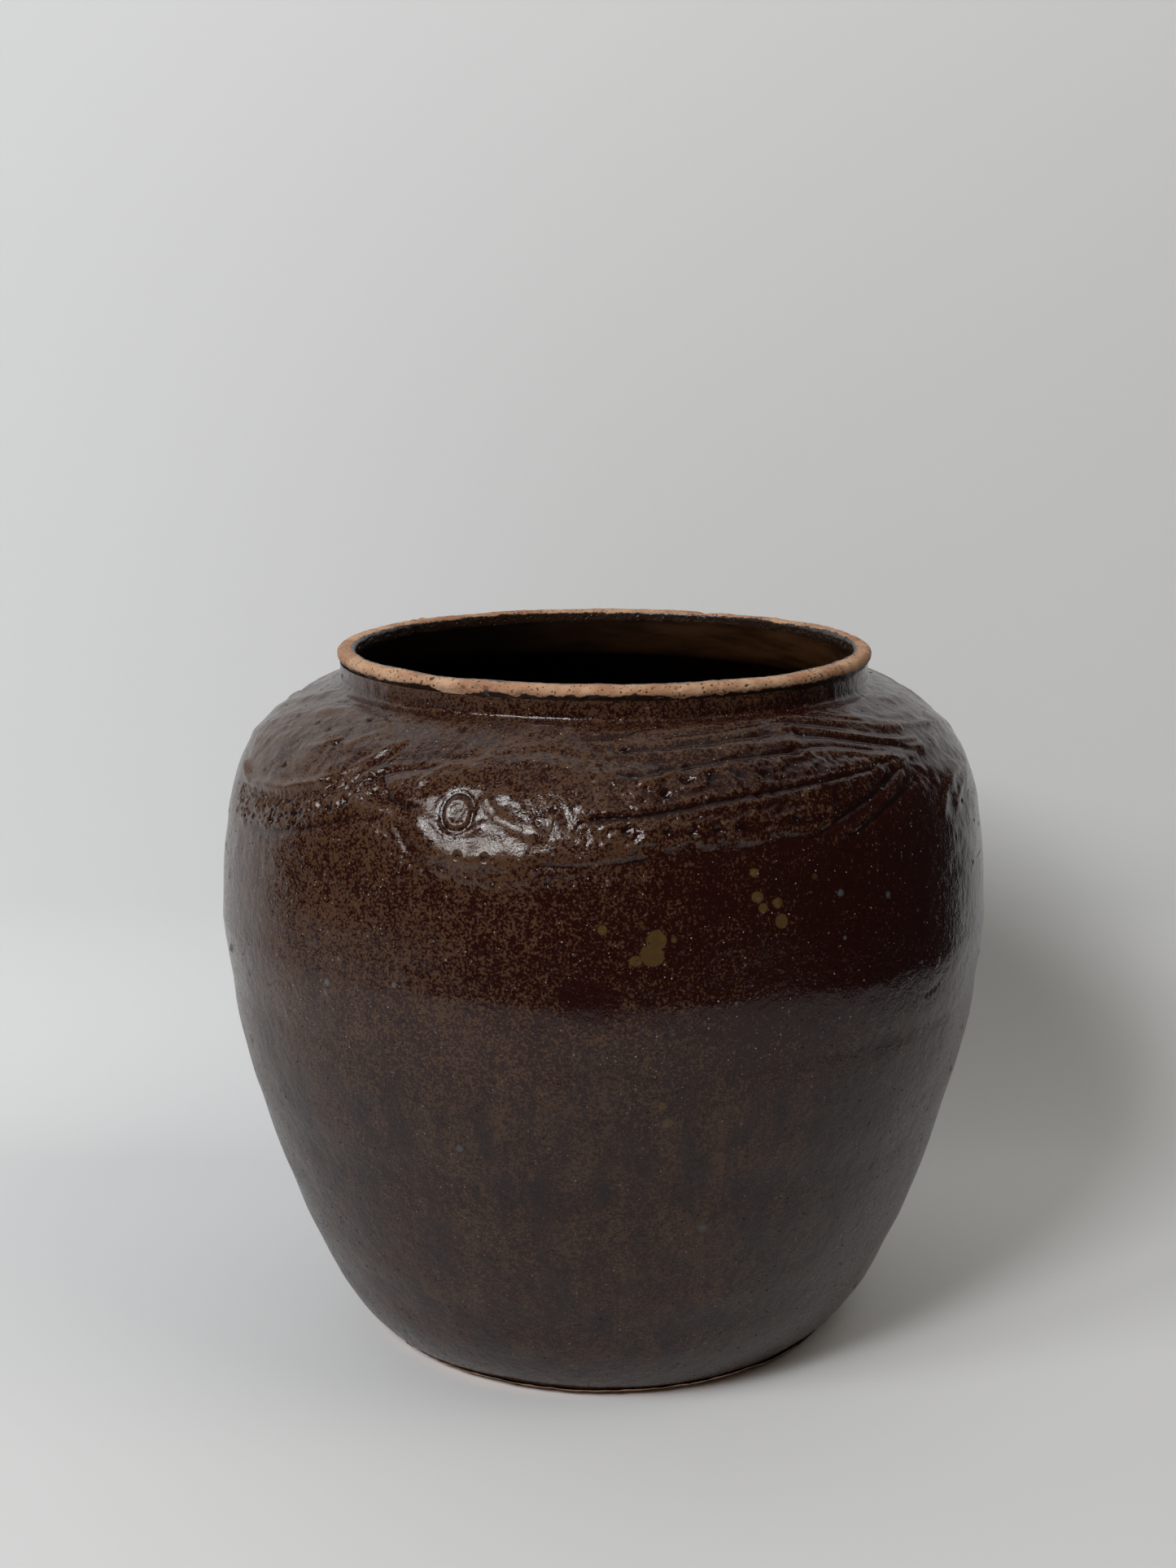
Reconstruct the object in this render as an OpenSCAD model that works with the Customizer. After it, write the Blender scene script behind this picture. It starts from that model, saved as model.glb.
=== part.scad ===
// Wide-mouthed storage jar of glazed stoneware with a carp and lotus relief on its shoulder.
// The jar stands on z = 0 with its axis on Z, and -Y is the front.

/* [Body] */
// Diameter of the foot where it meets the table
foot_d = 169; // [155:1:180]
// Diameter at the seam between the lower and the upper half
seam_d = 284.2; // [278:0.2:288]
// Diameter at the widest place
belly_d = 290.4; // [286:0.2:300]
// Height of the widest place
belly_h = 165; // [150:1:180]
// How far the seam between the two halves lies under the widest place
seam_drop = 25; // [15:1:45]
// Height at which the shoulder meets the neck
shoulder_h = 250.5; // [240:0.5:260]
// Thickness of the wall, glaze included
wall_t = 8; // [6.5:0.5:10]
// Thickness of the bottom slab
base_t = 11; // [9.5:0.5:14]

/* [Foot] */
// Width of the bare ring that the jar stands on
foot_ring_w = 13; // [8:1:20]
// Depth of the hollow under the slab
foot_hollow = 1.5; // [0.5:0.5:3]
// Height on the outside at which the wall meets the slab
base_joint_h = 7; // [5:0.5:8]

/* [Neck and lip] */
// Outer diameter of the mouth, across the lip
mouth_d = 200; // [197:0.5:206]
// Thickness of the lip
lip_t = 6.8; // [6:0.2:7.6]
// Height of the neck and lip above the shoulder
neck_h = 11.5; // [10:0.5:16]
// How far the lip stands out from the foot of the neck
lip_out = 1.5; // [0.8:0.1:2.5]
// Rounding of the lip's outer edge
lip_round = 2.4; // [1.5:0.1:2.8]
// Rounding of the lip's inner edge
lip_round_in = 1.8; // [1:0.1:2.2]
// Depth of the rabbet in which the neck ring sits
neck_seat = 2.5; // [2:0.5:3.5]
// Height of the bare lip above the outer glaze
lip_bare = 5; // [4:0.5:7]

/* [Glaze and seams] */
// Thickness of the outer glaze coat
glaze_t = 0.6; // [0.4:0.1:1]
// Thickness of the inner glaze coat
inner_glaze_t = 0.5; // [0.3:0.1:0.8]
// Height of the bare lip above the inner glaze
inner_bare = 4; // [3:0.5:6]
// Height of the bare clay line above the table
foot_bare = 2.5; // [2:0.5:4]
// Reach of the coil in the inside corner of the bottom
base_coil = 9; // [6:1:12]
// Height of the coil over the belly seam, on the inside
belly_coil_h = 16; // [12:1:24]
// Thickness of the coil over the belly seam
belly_coil_t = 1.8; // [1:0.2:3]

/* [Relief] */
// Height of the carp's body above the glaze
carp_h = 2.4; // [1.5:0.1:3.5]
// Height of the fins above the glaze
fin_h = 1.5; // [1:0.1:2.5]
// Height of the lotus leaf's rim above the glaze
leaf_h = 1.6; // [1:0.1:2.5]
// Height of the waves above the glaze
wave_h = 1.1; // [0.8:0.1:2]
// Height of the edge of every relief above the glaze
edge_h = 0.3; // [0.2:0.1:0.5]
// Radius of the carp's eye
eye_r = 6; // [4.5:0.5:7]
// Height of the eye's ring above the head
eye_h = 1; // [0.6:0.1:1.6]
// Gap in the glaze around a relief
relief_fit = 0.2; // [0.15:0.05:0.4]
// Layer of slip between a relief and the wall
slip_t = 0.15; // [0.12:0.01:0.25]
// Gap between neighbouring reliefs
relief_gap = 0.5; // [0.4:0.1:1]
// Turn of the whole relief about the jar's axis
relief_turn = 0; // [-20:1:20]

/* [Hidden] */
$fn = 96;

foot_r = foot_d / 2;
seam_r = seam_d / 2;
seam_h = belly_h - seam_drop;
belly_r = belly_d / 2;
mouth_r = mouth_d / 2;
neck_r = mouth_r - lip_out;
throat_r = mouth_r - lip_t;
jar_h = shoulder_h + neck_h;

clay_color = "#aa7855";
glaze_color = "#3e2d26";
inside_color = "#2a1c16";
relief_color = "#4f3a2e";

// Points along a cubic curve with four handles
function curve_point(p, t) =
    pow(1 - t, 3) * p[0] + 3 * pow(1 - t, 2) * t * p[1] + 3 * (1 - t) * t * t * p[2] + pow(t, 3) * p[3];
function curve(p, steps, first = 0) = [for (i = [first : steps]) curve_point(p, i / steps)];
// Points along a bend from a to b whose end tangents meet at c
function bend(a, c, b, steps) =
    [for (i = [0 : steps]) let (t = i / steps) pow(1 - t, 2) * a + 2 * (1 - t) * t * c + t * t * b];

function last(list) = list[len(list) - 1];
function reversed(list) = [for (i = [len(list) - 1 : -1 : 0]) list[i]];
function unit(v) = v / norm(v);

// Direction of a line at its point i, the normal on its outer side, and the line moved along it
function heading(line, i) =
    let (a = max(i - 1, 0), b = min(i + 1, len(line) - 1))
    unit(unit(line[max(i, 1)] - line[max(i, 1) - 1]) + unit(line[b] - line[min(i, b - 1)]));
function outward(line, i) = let (d = heading(line, i)) [d.y, -d.x];
function offset_line(line, distance) =
    [for (i = [0 : len(line) - 1]) line[i] + distance * outward(line, i)];

// Radius of a rising line at a height, and the stretch of it between two heights
weld = 0.3;
function radius_at(line, z) = lookup(z, [for (p = line) [p.y, p.x]]);
function between(line, low, high) = [for (p = line) if (p.y > low + weld && p.y < high - weld) p];
function stretch(line, low, high) =
    concat([[radius_at(line, low), low]], between(line, low, high), [[radius_at(line, high), high]]);

// Outside of the glazed body in half section: foot to seam, seam to belly, belly to neck
// Each curve leaves its ends by these shares of the width and height that it spans
foot_pull = [0.491, 0.072];
seam_pull = [0.0104, 0.157];
seam_rise = [0.32, 0.32];
belly_pull = [0, 0.32];
shoulder_pull = [0.0707, 0.6374];
neck_pull = [0.863, 0.179];
foot_point = [foot_r, 0];
seam_point = [seam_r, seam_h];
belly_point = [belly_r, belly_h];
neck_point = [neck_r, shoulder_h];
function spanned(a, b, leave, arrive) =
    let (d = b - a)
    [a, a + [d.x * leave.x, d.y * leave.y], b - [d.x * arrive.x, d.y * arrive.y], b];
body_line = concat(
    curve(spanned(foot_point, seam_point, foot_pull, seam_pull), 16),
    curve(spanned(seam_point, belly_point, seam_rise, belly_pull), 4, 1),
    curve(spanned(belly_point, neck_point, shoulder_pull, neck_pull), 20, 1)
);

// Clay under the glaze, and the inside of the wall
clay_line = offset_line(body_line, -glaze_t);
wall_line = offset_line(body_line, -wall_t);

// Scarf between the two halves, seat of the neck ring, and the throat
scarf_rise = 0.24 * seam_drop;
scarf_z = seam_h + scarf_rise;
clay_top = last(clay_line);
wall_top = last(wall_line);
seat_z = shoulder_h - neck_seat;
throat_clay_r = throat_r + inner_glaze_t;
throat_share = 0.3;
throat_low = [throat_clay_r, wall_top.y + throat_share * (seat_z - wall_top.y)];
throat_bend = bend(wall_top, throat_low, [throat_clay_r, seat_z], 4);
inner_glaze_z = jar_h - inner_bare;

// Outside of the neck: a small hollow from the shoulder into the upright collar, up to the bare lip
neck_hollow = 2.5;
collar_lean = 0.2;
collar_foot = [neck_r + collar_lean, shoulder_h + neck_hollow];
collar_top = [neck_r + 2 * collar_lean, jar_h - lip_bare];
collar_line = concat(bend(body_line[len(body_line) - 2], neck_point, collar_foot, 3), [collar_top]);
collar_clay = [clay_top, collar_foot - [glaze_t, 0], collar_top - [glaze_t, 0]];

// Inside corner of the bottom
corner_r = radius_at(wall_line, base_t);
corner_z = base_t + base_coil;
corner_top = [radius_at(wall_line, corner_z), corner_z];
corner_bend = bend([corner_r - base_coil, base_t], [corner_r, base_t], corner_top, 6);

// Swelling of the coil over the belly seam, from its lower to its upper edge
coil_low = scarf_z - belly_coil_h / 2;
coil_high = scarf_z + belly_coil_h / 2;
coil_steps = 8;
coil_bulge = [
    for (i = [0 : coil_steps])
        let (z = coil_low + belly_coil_h * i / coil_steps)
        [radius_at(wall_line, z) - belly_coil_t * sin(180 * i / coil_steps), z]
];

// Clay inside, from the middle of the floor to the throat
inside_line = concat(
    [[0, base_t]],
    corner_bend,
    between(wall_line, corner_z, coil_low),
    coil_bulge,
    between(wall_line, coil_high, wall_top.y),
    throat_bend,
    [[throat_clay_r, inner_glaze_z]]
);

module turned(section) {
    rotate_extrude() polygon(section);
}

module base_disc() {
    ring_in = foot_r - foot_ring_w;
    hollow_in = ring_in - 2 * foot_hollow;
    color(clay_color)
        turned(concat(
            [[0, foot_hollow], [hollow_in, foot_hollow], [ring_in, 0], foot_point],
            between(clay_line, glaze_t, base_joint_h),
            [[radius_at(clay_line, base_joint_h), base_joint_h], [corner_r, base_t], [0, base_t]]
        ));
}

module lower_wall() {
    color(clay_color)
        turned(concat(
            stretch(clay_line, base_joint_h, seam_h),
            reversed(stretch(wall_line, base_t, scarf_z))
        ));
}

module upper_wall() {
    color(clay_color)
        turned(concat(
            [[radius_at(clay_line, seam_h), seam_h]],
            between(clay_line, seam_h, clay_top.y),
            [clay_top, [clay_top.x, seat_z]],
            reversed(throat_bend),
            reversed(between(wall_line, scarf_z, wall_top.y)),
            [[radius_at(wall_line, scarf_z), scarf_z]]
        ));
}

module neck_ring() {
    outer_edge = [mouth_r - lip_round, jar_h - lip_round];
    inner_edge = [throat_r + lip_round_in, jar_h - lip_round_in];
    color(clay_color)
        turned(concat(
            [[throat_clay_r, seat_z], [clay_top.x, seat_z]],
            collar_clay,
            [collar_top],
            [for (a = [-30 : 20 : 90]) outer_edge + lip_round * [cos(a), sin(a)]],
            [for (a = [90 : 22.5 : 180]) inner_edge + lip_round_in * [cos(a), sin(a)]],
            [[throat_r, inner_glaze_z], [throat_clay_r, inner_glaze_z]]
        ));
}

module base_seam_coil() {
    color(clay_color)
        turned(concat(corner_bend, reversed(between(wall_line, base_t, corner_z)), [[corner_r, base_t]]));
}

module belly_seam_coil() {
    color(clay_color)
        turned(concat(coil_bulge, reversed(between(wall_line, coil_low, coil_high))));
}

module inner_glaze() {
    color(inside_color)
        turned(concat(inside_line, reversed(offset_line(inside_line, -inner_glaze_t))));
}

// Distance down the wall from the neck to each point of the body's line
function run_to(line, i) = i == 0 ? 0 : run_to(line, i - 1) + norm(line[i] - line[i - 1]);
fall_line = reversed(body_line);
fall = [for (i = [0 : len(fall_line) - 1]) run_to(fall_line, i)];
fall_r = [for (i = [0 : len(fall) - 1]) [fall[i], fall_line[i].x]];
fall_z = [for (i = [0 : len(fall) - 1]) [fall[i], fall_line[i].y]];
fall_lean = [
    for (i = [0 : len(fall) - 1])
        let (n = outward(body_line, len(body_line) - 1 - i))
        [fall[i], atan2(n.y, n.x)]
];

// A hundredth of the way down the wall from the neck to the widest place
hundredth = lookup(-belly_h, [for (i = [0 : len(fall) - 1]) [-fall_line[i].y, fall[i]]]) / 100;

// Point at a lift above the glaze, so far round the jar and so far down the wall from the neck
function on_wall(turn, down, lift) =
    let (lean = lookup(down, fall_lean),
         r = lookup(down, fall_r) + lift * cos(lean),
         z = lookup(down, fall_z) + lift * sin(lean),
         a = turn + relief_turn)
    [r * sin(a), -r * cos(a), z];

// Smooth curve through hand-set points, read at x
function piece_of(points, x, k = 0) =
    (k >= len(points) - 2 || x < points[k + 1].x) ? k : piece_of(points, x, k + 1);
function slope_at(points, k) =
    let (a = points[max(k - 1, 0)], b = points[min(k + 1, len(points) - 1)])
    (b.y - a.y) / (b.x - a.x);
function smooth_at(points, x) =
    let (k = piece_of(points, x),
         a = points[k],
         b = points[k + 1],
         w = b.x - a.x,
         t = (x - a.x) / w,
         t2 = t * t,
         t3 = t2 * t)
    (2 * t3 - 3 * t2 + 1) * a.y + (t3 - 2 * t2 + t) * w * slope_at(points, k)
    + (3 * t2 - 2 * t3) * b.y + (t3 - t2) * w * slope_at(points, k + 1);

// Outline of a relief, hand-set in degrees round the jar and hundredths down the wall
function outline_at(points, turn) = hundredth * smooth_at(points, turn);

// Closed solid between two grids of points, the upper one seen with columns to the right and rows up
module between_grids(over, under) {
    cols = len(over) - 1;
    rows = len(over[0]) - 1;
    size = (cols + 1) * (rows + 1);
    function at(i, j) = i * (rows + 1) + j;
    function below(i, j) = size + at(i, j);
    points = concat([for (c = over) each c], [for (c = under) each c]);
    function quad(a, b, c, d) = [[a, b, c], [a, c, d]];
    faces = concat(
        [for (i = [0 : cols - 1], j = [0 : rows - 1])
            each quad(at(i, j), at(i, j + 1), at(i + 1, j + 1), at(i + 1, j))],
        [for (i = [0 : cols - 1], j = [0 : rows - 1])
            each quad(below(i, j), below(i + 1, j), below(i + 1, j + 1), below(i, j + 1))],
        [for (i = [0 : cols - 1]) each quad(at(i, 0), at(i + 1, 0), below(i + 1, 0), below(i, 0))],
        [for (i = [0 : cols - 1])
            each quad(at(i + 1, rows), at(i, rows), below(i, rows), below(i + 1, rows))],
        [for (j = [0 : rows - 1]) each quad(at(0, j + 1), at(0, j), below(0, j), below(0, j + 1))],
        [for (j = [0 : rows - 1])
            each quad(at(cols, j), at(cols, j + 1), below(cols, j + 1), below(cols, j))]
    );
    polyhedron(points, faces);
}

// Pad of clay on the wall between two outlines, low and high; lift gives its height above the glaze
seat_lift = slip_t - glaze_t;
function columns(from, to, count) = [for (i = [0 : count]) from + (to - from) * i / count];
function share(low, high, v) = low + (high - low) * v;
module pad(turns, rows, low, high, lift) {
    between_grids(
        [for (i = [0 : len(turns) - 1])
            let (a = turns[i])
            [for (j = [0 : rows])
                let (v = j / rows)
                on_wall(a, share(low(a), high(a), v), lift(a, v, i, j))]],
        [for (a = turns) [for (j = [0 : rows]) on_wall(a, share(low(a), high(a), j / rows), seat_lift)]]
    );
}

// Opening in the glaze coat along stations, each a turn with the low and the high edge of the pads there
window_out = belly_r / 6;
window_in = -wall_t / 2;
fit_turn = relief_fit * 180 / PI / belly_r;
module window(stations) {
    end = len(stations) - 1;
    edges = [
        for (i = [0 : end])
            let (s = stations[i], turn = s[0] + (i == 0 ? -fit_turn : i == end ? fit_turn : 0))
            [[turn, s[1] + relief_fit], [turn, s[2] - relief_fit]]
    ];
    between_grids(
        [for (e = edges) [for (p = e) on_wall(p.x, p.y, window_out)]],
        [for (e = edges) [for (p = e) on_wall(p.x, p.y, window_in)]]
    );
}
module pad_window(turns, low, high) {
    window([for (a = turns) [a, low(a), high(a)]]);
}

// Rounded height across a pad, from 0 at its edges to 1 in the middle
function swell(v) = pow(max(sin(180 * v), 0), 0.6);
// Bump of height 1 about a place, so wide
function bump(distance, width) = exp(-pow(distance / width, 2));

// Outlines of the carp from its mouth to the root of its tail
carp_back = [[-34.5, 32.1], [-31, 27.9], [-28, 26], [-22, 23.6], [-10, 19.8], [0, 22.7], [10, 23.2],
             [20, 23.6], [33, 24.1], [45, 27.4], [53, 32.1]];
carp_belly = [[-34.5, 37.8], [-31, 44.4], [-29, 51], [-25, 59.5], [-18, 63.8], [-8, 62.4], [0, 58.6],
              [10, 54.3], [20, 52.9], [33, 48.2], [45, 38.8], [53, 34.5]];
carp_cols = 39;
carp_rows = 12;
carp_from = carp_back[0].x;
carp_to = last(carp_back).x;
carp_turns = columns(carp_from, carp_to, carp_cols);
tooth_from = 3;
tooth_to = 36;
tooth_depth = 0.5 * carp_h;
head_end = -12;
eye_turn = -20.5;
eye_down = 43 * hundredth;
eye_seat_share = 0.85;
eye_seat_lift = eye_seat_share * carp_h;
eye_flat = 1.3 * eye_r;
eye_slope = 0.7 * eye_r;
body_taper = 0.3;
scale_lift = 0.15 * carp_h;
side_line_depth = 0.25 * carp_h;
cheek_lift = 0.3 * carp_h;
cheek_r = 2.3 * eye_r;
gill_depth = 0.33 * carp_h;
gill_r = 3.5 * eye_r;
ridge_width = 0.5 * eye_r;
function carp_low(a) = outline_at(carp_belly, a);
function carp_high(a) = outline_at(carp_back, a);
function wall_mm(a, down) = (a - eye_turn) * PI / 180 * lookup(down, fall_r);
function eye_distance(a, down) = norm([wall_mm(a, down), down - eye_down]);
function carp_lift(a, v, i, j) =
    let (down = share(carp_low(a), carp_high(a), v),
         from_eye = eye_distance(a, down),
         at_eye = min(1, max(0, 1 - (from_eye - eye_flat) / eye_slope)),
         behind_head = a > head_end ? 1 : 0,
         inside = v > 0 && v < 1 ? 1 : 0,
         body = edge_h + (carp_h - edge_h) * swell(v) * (1 - body_taper * max(a, 0) / carp_to),
         scales = behind_head * ((i + j) % 2) * (j > 1 && j < carp_rows - 1 ? scale_lift : 0),
         side_line = behind_head * (j == carp_rows / 2 ? side_line_depth : 0),
         cheek = down > eye_down ? cheek_lift * bump(from_eye - cheek_r, ridge_width) : 0,
         gill = a > eye_turn ? gill_depth * bump(from_eye - gill_r, ridge_width) : 0,
         skin = body + inside * (scales - side_line + cheek - gill))
    share(skin, eye_seat_lift, at_eye * inside);
function carp_column(a) = round((a - carp_from) / (carp_to - carp_from) * carp_cols);
function carp_teeth(a) = a > tooth_from && a < tooth_to && carp_column(a) % 2 == 0 ? tooth_depth : 0;

module carp_body() {
    color(relief_color)
        pad(carp_turns, carp_rows, function (a) carp_low(a), function (a) carp_high(a) + carp_teeth(a),
            function (a, v, i, j) carp_lift(a, v, i, j));
}

// Eye: a ring round a domed pupil, seated on the flat of the head
eye_spokes = 16;
eye_rings = [[0.3, 0.75], [0.5, 0.25], [0.8, 1], [1, 0.2]];
module carp_eye() {
    rings = len(eye_rings);
    function eye_point(ring, s, lift) =
        let (r = eye_rings[ring][0] * eye_r,
             q = 360 * s / eye_spokes,
             down = eye_down - r * sin(q),
             a = eye_turn + r * cos(q) * 180 / PI / lookup(down, fall_r))
        on_wall(a, down, lift);
    top = [for (k = [0 : rings - 1], s = [0 : eye_spokes - 1])
        eye_point(k, s, eye_seat_lift + slip_t + eye_h * eye_rings[k][1])];
    foot = [for (k = [0 : rings - 1], s = [0 : eye_spokes - 1]) eye_point(k, s, eye_seat_lift + slip_t)];
    pupil = [on_wall(eye_turn, eye_down, eye_seat_lift + slip_t + eye_h * 0.9)];
    middle = [on_wall(eye_turn, eye_down, eye_seat_lift + slip_t)];
    half = rings * eye_spokes + 1;
    function top_at(k, s) = 1 + k * eye_spokes + s % eye_spokes;
    function foot_at(k, s) = half + top_at(k, s);
    faces = concat(
        [for (s = [0 : eye_spokes - 1]) [0, top_at(0, s + 1), top_at(0, s)]],
        [for (s = [0 : eye_spokes - 1]) [half, foot_at(0, s), foot_at(0, s + 1)]],
        [for (k = [0 : rings - 2], s = [0 : eye_spokes - 1]) each
            [[top_at(k, s), top_at(k, s + 1), top_at(k + 1, s + 1)],
             [top_at(k, s), top_at(k + 1, s + 1), top_at(k + 1, s)]]],
        [for (k = [0 : rings - 2], s = [0 : eye_spokes - 1]) each
            [[foot_at(k, s), foot_at(k + 1, s + 1), foot_at(k, s + 1)],
             [foot_at(k, s), foot_at(k + 1, s), foot_at(k + 1, s + 1)]]],
        [for (s = [0 : eye_spokes - 1]) each
            [[top_at(rings - 1, s), top_at(rings - 1, s + 1), foot_at(rings - 1, s + 1)],
             [top_at(rings - 1, s), foot_at(rings - 1, s + 1), foot_at(rings - 1, s)]]]
    );
    color(relief_color) polyhedron(concat(pupil, top, middle, foot), faces);
}

// Share of a fin's height in its rays, and in the grooves between them
groove_share = 0.5;
function ray(j) = j % 2 == 1 ? 1 : groove_share;

// Dorsal fin along the back, with streaks that run lengthwise
dorsal_top = [[-17, 18], [-14, 11.8], [-11, 7.1], [-7, 7.6], [0, 7.6], [12, 7.1], [25, 8.5], [33, 12.8]];
dorsal_cols = [8, 30];
dorsal_turns = [for (i = [dorsal_cols[0] : dorsal_cols[1]]) carp_turns[i]];
function dorsal_high(a) = outline_at(dorsal_top, a);
module dorsal_fin() {
    color(relief_color)
        pad(dorsal_turns, 6, function (a) carp_high(a) - relief_gap, function (a) dorsal_high(a),
            function (a, v, i, j) edge_h + (fin_h - edge_h) * swell(v) * ray(j));
}

// Belly fin behind the belly, with two grooves
belly_fin_bottom = [[30, 52.5], [34, 55.8], [40, 55.3], [46, 49.1], [51, 43]];
belly_fin_cols = [29, 38];
belly_fin_turns = [for (i = [belly_fin_cols[0] : belly_fin_cols[1]]) carp_turns[i]];
function belly_fin_low(a) = outline_at(belly_fin_bottom, a);
module belly_fin() {
    color(relief_color)
        pad(belly_fin_turns, 6, function (a) belly_fin_low(a), function (a) carp_low(a) + relief_gap,
            function (a, v, i, j) edge_h + (fin_h - edge_h) * swell(v) * ray(j));
}

// Strips of fin, each with its lower and its upper outline
strip_cols = 12;
function strip_turns(strip) = columns(strip[0][0].x, last(strip[0]).x, strip_cols);
function strip_low(strip, a) = outline_at(strip[0], a);
function strip_high(strip, a) = outline_at(strip[1], a);

// Tail fin: two lobes that part behind the root, each with rays
tail_lobes = [
    [[[54, 34.6], [60, 36.1], [68, 34.5], [76, 30.2], [83, 26]],
     [[54, 32.5], [60, 31.2], [68, 28.9], [76, 25.5], [83, 23.2]]],
    [[[54, 37.8], [59, 47.3], [66, 51.5], [74, 49.6], [80, 45.4]],
     [[54, 35.7], [60, 38.2], [68, 38.8], [74, 39.7], [80, 42.1]]]
];
module tail_fin() {
    color(relief_color)
        for (t = tail_lobes)
            pad(strip_turns(t), 6, function (a) strip_low(t, a), function (a) strip_high(t, a),
                function (a, v, i, j) edge_h + (fin_h - edge_h) * swell(v) * ray(j));
}

// Long streamers that trail from the dorsal fin over the tail
streamers = [
    [[[33.8, 16.1], [38, 17.5], [45, 23.6], [52, 27.9], [58, 29.3]],
     [[33.8, 11.8], [38, 10.7], [45, 16.5], [52, 21.7], [58, 26.9]]],
    [[[36, 9], [40, 9.5], [46, 14.2], [52, 19.8], [58, 24.1], [64, 26.5]],
     [[36, 5.2], [40, 4.7], [46, 7.6], [52, 13.2], [58, 18.9], [64, 24.1]]],
    [[[45, 5.7], [50, 9.9], [56, 15.1], [62, 19.4], [72, 24.6]],
     [[45, 2.8], [50, 5.2], [56, 9.9], [62, 15.1], [72, 22.2]]]
];
module fin_streamers() {
    color(relief_color)
        for (s = streamers)
            pad(strip_turns(s), 4, function (a) strip_low(s, a), function (a) strip_high(s, a),
                function (a, v, i, j) edge_h + (fin_h - edge_h) * swell(v));
}

// Lotus leaf with a raised rim and veins that spread from its middle
leaf_bottom = [[-78, 38.8], [-72, 44.4], [-64, 47.3], [-60, 46.3], [-55, 45.4], [-50, 42.5],
               [-45, 38.3], [-42, 34], [-39, 27.4], [-37, 21.7]];
leaf_top = [[-78, 32.1], [-74, 22.7], [-68, 14.2], [-60, 8.5], [-52, 6.1], [-45, 7.6],
            [-40, 13.2], [-37, 18]];
leaf_turns = columns(leaf_top[0].x, last(leaf_top).x, 20);
leaf_middle = [-56, 26.5];
leaf_veins = 9;
vein_reach = 19 * hundredth;
vein_spread = 13 * hundredth;
rim_share = [0.1, 0.09];
leaf_shares = [0.35, 0.65, 0.25];
function leaf_low(a) = outline_at(leaf_bottom, a);
function leaf_high(a) = outline_at(leaf_top, a);
function leaf_lift(a, v) =
    let (down = share(leaf_low(a), leaf_high(a), v),
         across = (a - leaf_middle.x) * PI / 180 * lookup(down, fall_r),
         along = leaf_middle.y * hundredth - down,
         rim = bump(min(v, 1 - v) - rim_share[0], rim_share[1]),
         ray = max(0, cos(leaf_veins * atan2(along, across))),
         vein = ray * bump(norm([across, along]) - vein_reach, vein_spread),
         height = v > 0 && v < 1 ? leaf_shares * [1, rim, vein] : 0)
    edge_h + (leaf_h - edge_h) * height;
module lotus_leaf() {
    color(relief_color)
        pad(leaf_turns, 10, function (a) leaf_low(a), function (a) leaf_high(a),
            function (a, v, i, j) leaf_lift(a, v));
}

// Band of waves under the leaf
wave_bottom = [[-66, 61.4], [-60, 61], [-54, 59.5], [-47, 55.3], [-42, 51.5], [-38, 47.3]];
wave_top = [[-66, 52.9], [-60, 51], [-55, 49.6], [-50, 46.8], [-45, 43], [-42, 39.7], [-38, 35.9]];
wave_turns = columns(wave_top[0].x, last(wave_top).x, 16);
function wave_low(a) = outline_at(wave_bottom, a);
function wave_high(a) = outline_at(wave_top, a);
module wave_band() {
    color(relief_color)
        pad(wave_turns, 4, function (a) wave_low(a), function (a) wave_high(a),
            function (a, v, i, j) edge_h + (wave_h - edge_h) * swell(v) * ((i + j) % 3 == 0 ? 1 : groove_share));
}

// Opening round the carp and the two fins that lie against it; a fin's end is a step in its edges
step_turn = 0.1;
function within(span, i) = i > span[0] && i < span[1];
function carp_station(turn, a, i) = [
    turn,
    within(belly_fin_cols, i) ? belly_fin_low(a) : carp_low(a),
    within(dorsal_cols, i) ? dorsal_high(a) : carp_high(a)
];
function fin_starts(i) = i == dorsal_cols[0] || i == belly_fin_cols[0];
function fin_ends(i) = i == dorsal_cols[1] || i == belly_fin_cols[1];
module carp_window() {
    window([
        for (i = [0 : carp_cols])
            let (a = carp_turns[i],
                 out = fin_starts(i) ? -fit_turn : fin_ends(i) ? fit_turn : 0,
                 first = out - (fin_starts(i) ? step_turn : 0),
                 second = out + (fin_ends(i) ? step_turn : 0))
            each out == 0
                ? [carp_station(a, a, i)]
                : [carp_station(a + first, a, i - 0.5), carp_station(a + second, a, i + 0.5)]
    ]);
}

module relief_windows() {
    carp_window();
    for (p = concat(tail_lobes, streamers))
        pad_window(strip_turns(p), function (a) strip_low(p, a), function (a) strip_high(p, a));
    pad_window(leaf_turns, function (a) leaf_low(a), function (a) leaf_high(a));
    pad_window(wave_turns, function (a) wave_low(a), function (a) wave_high(a));
}

module outer_glaze() {
    color(glaze_color)
        difference() {
            turned(concat(
                [[radius_at(body_line, foot_bare), foot_bare]],
                [for (i = [0 : len(body_line) - 3]) if (body_line[i].y > foot_bare + weld) body_line[i]],
                collar_line,
                reversed(collar_clay),
                reversed(between(clay_line, foot_bare, clay_top.y)),
                [[radius_at(clay_line, foot_bare), foot_bare]]
            ));
            relief_windows();
            rotate([0, 0, 180]) relief_windows();
        }
}

module rear() {
    rotate([0, 0, 180]) children();
}

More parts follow.
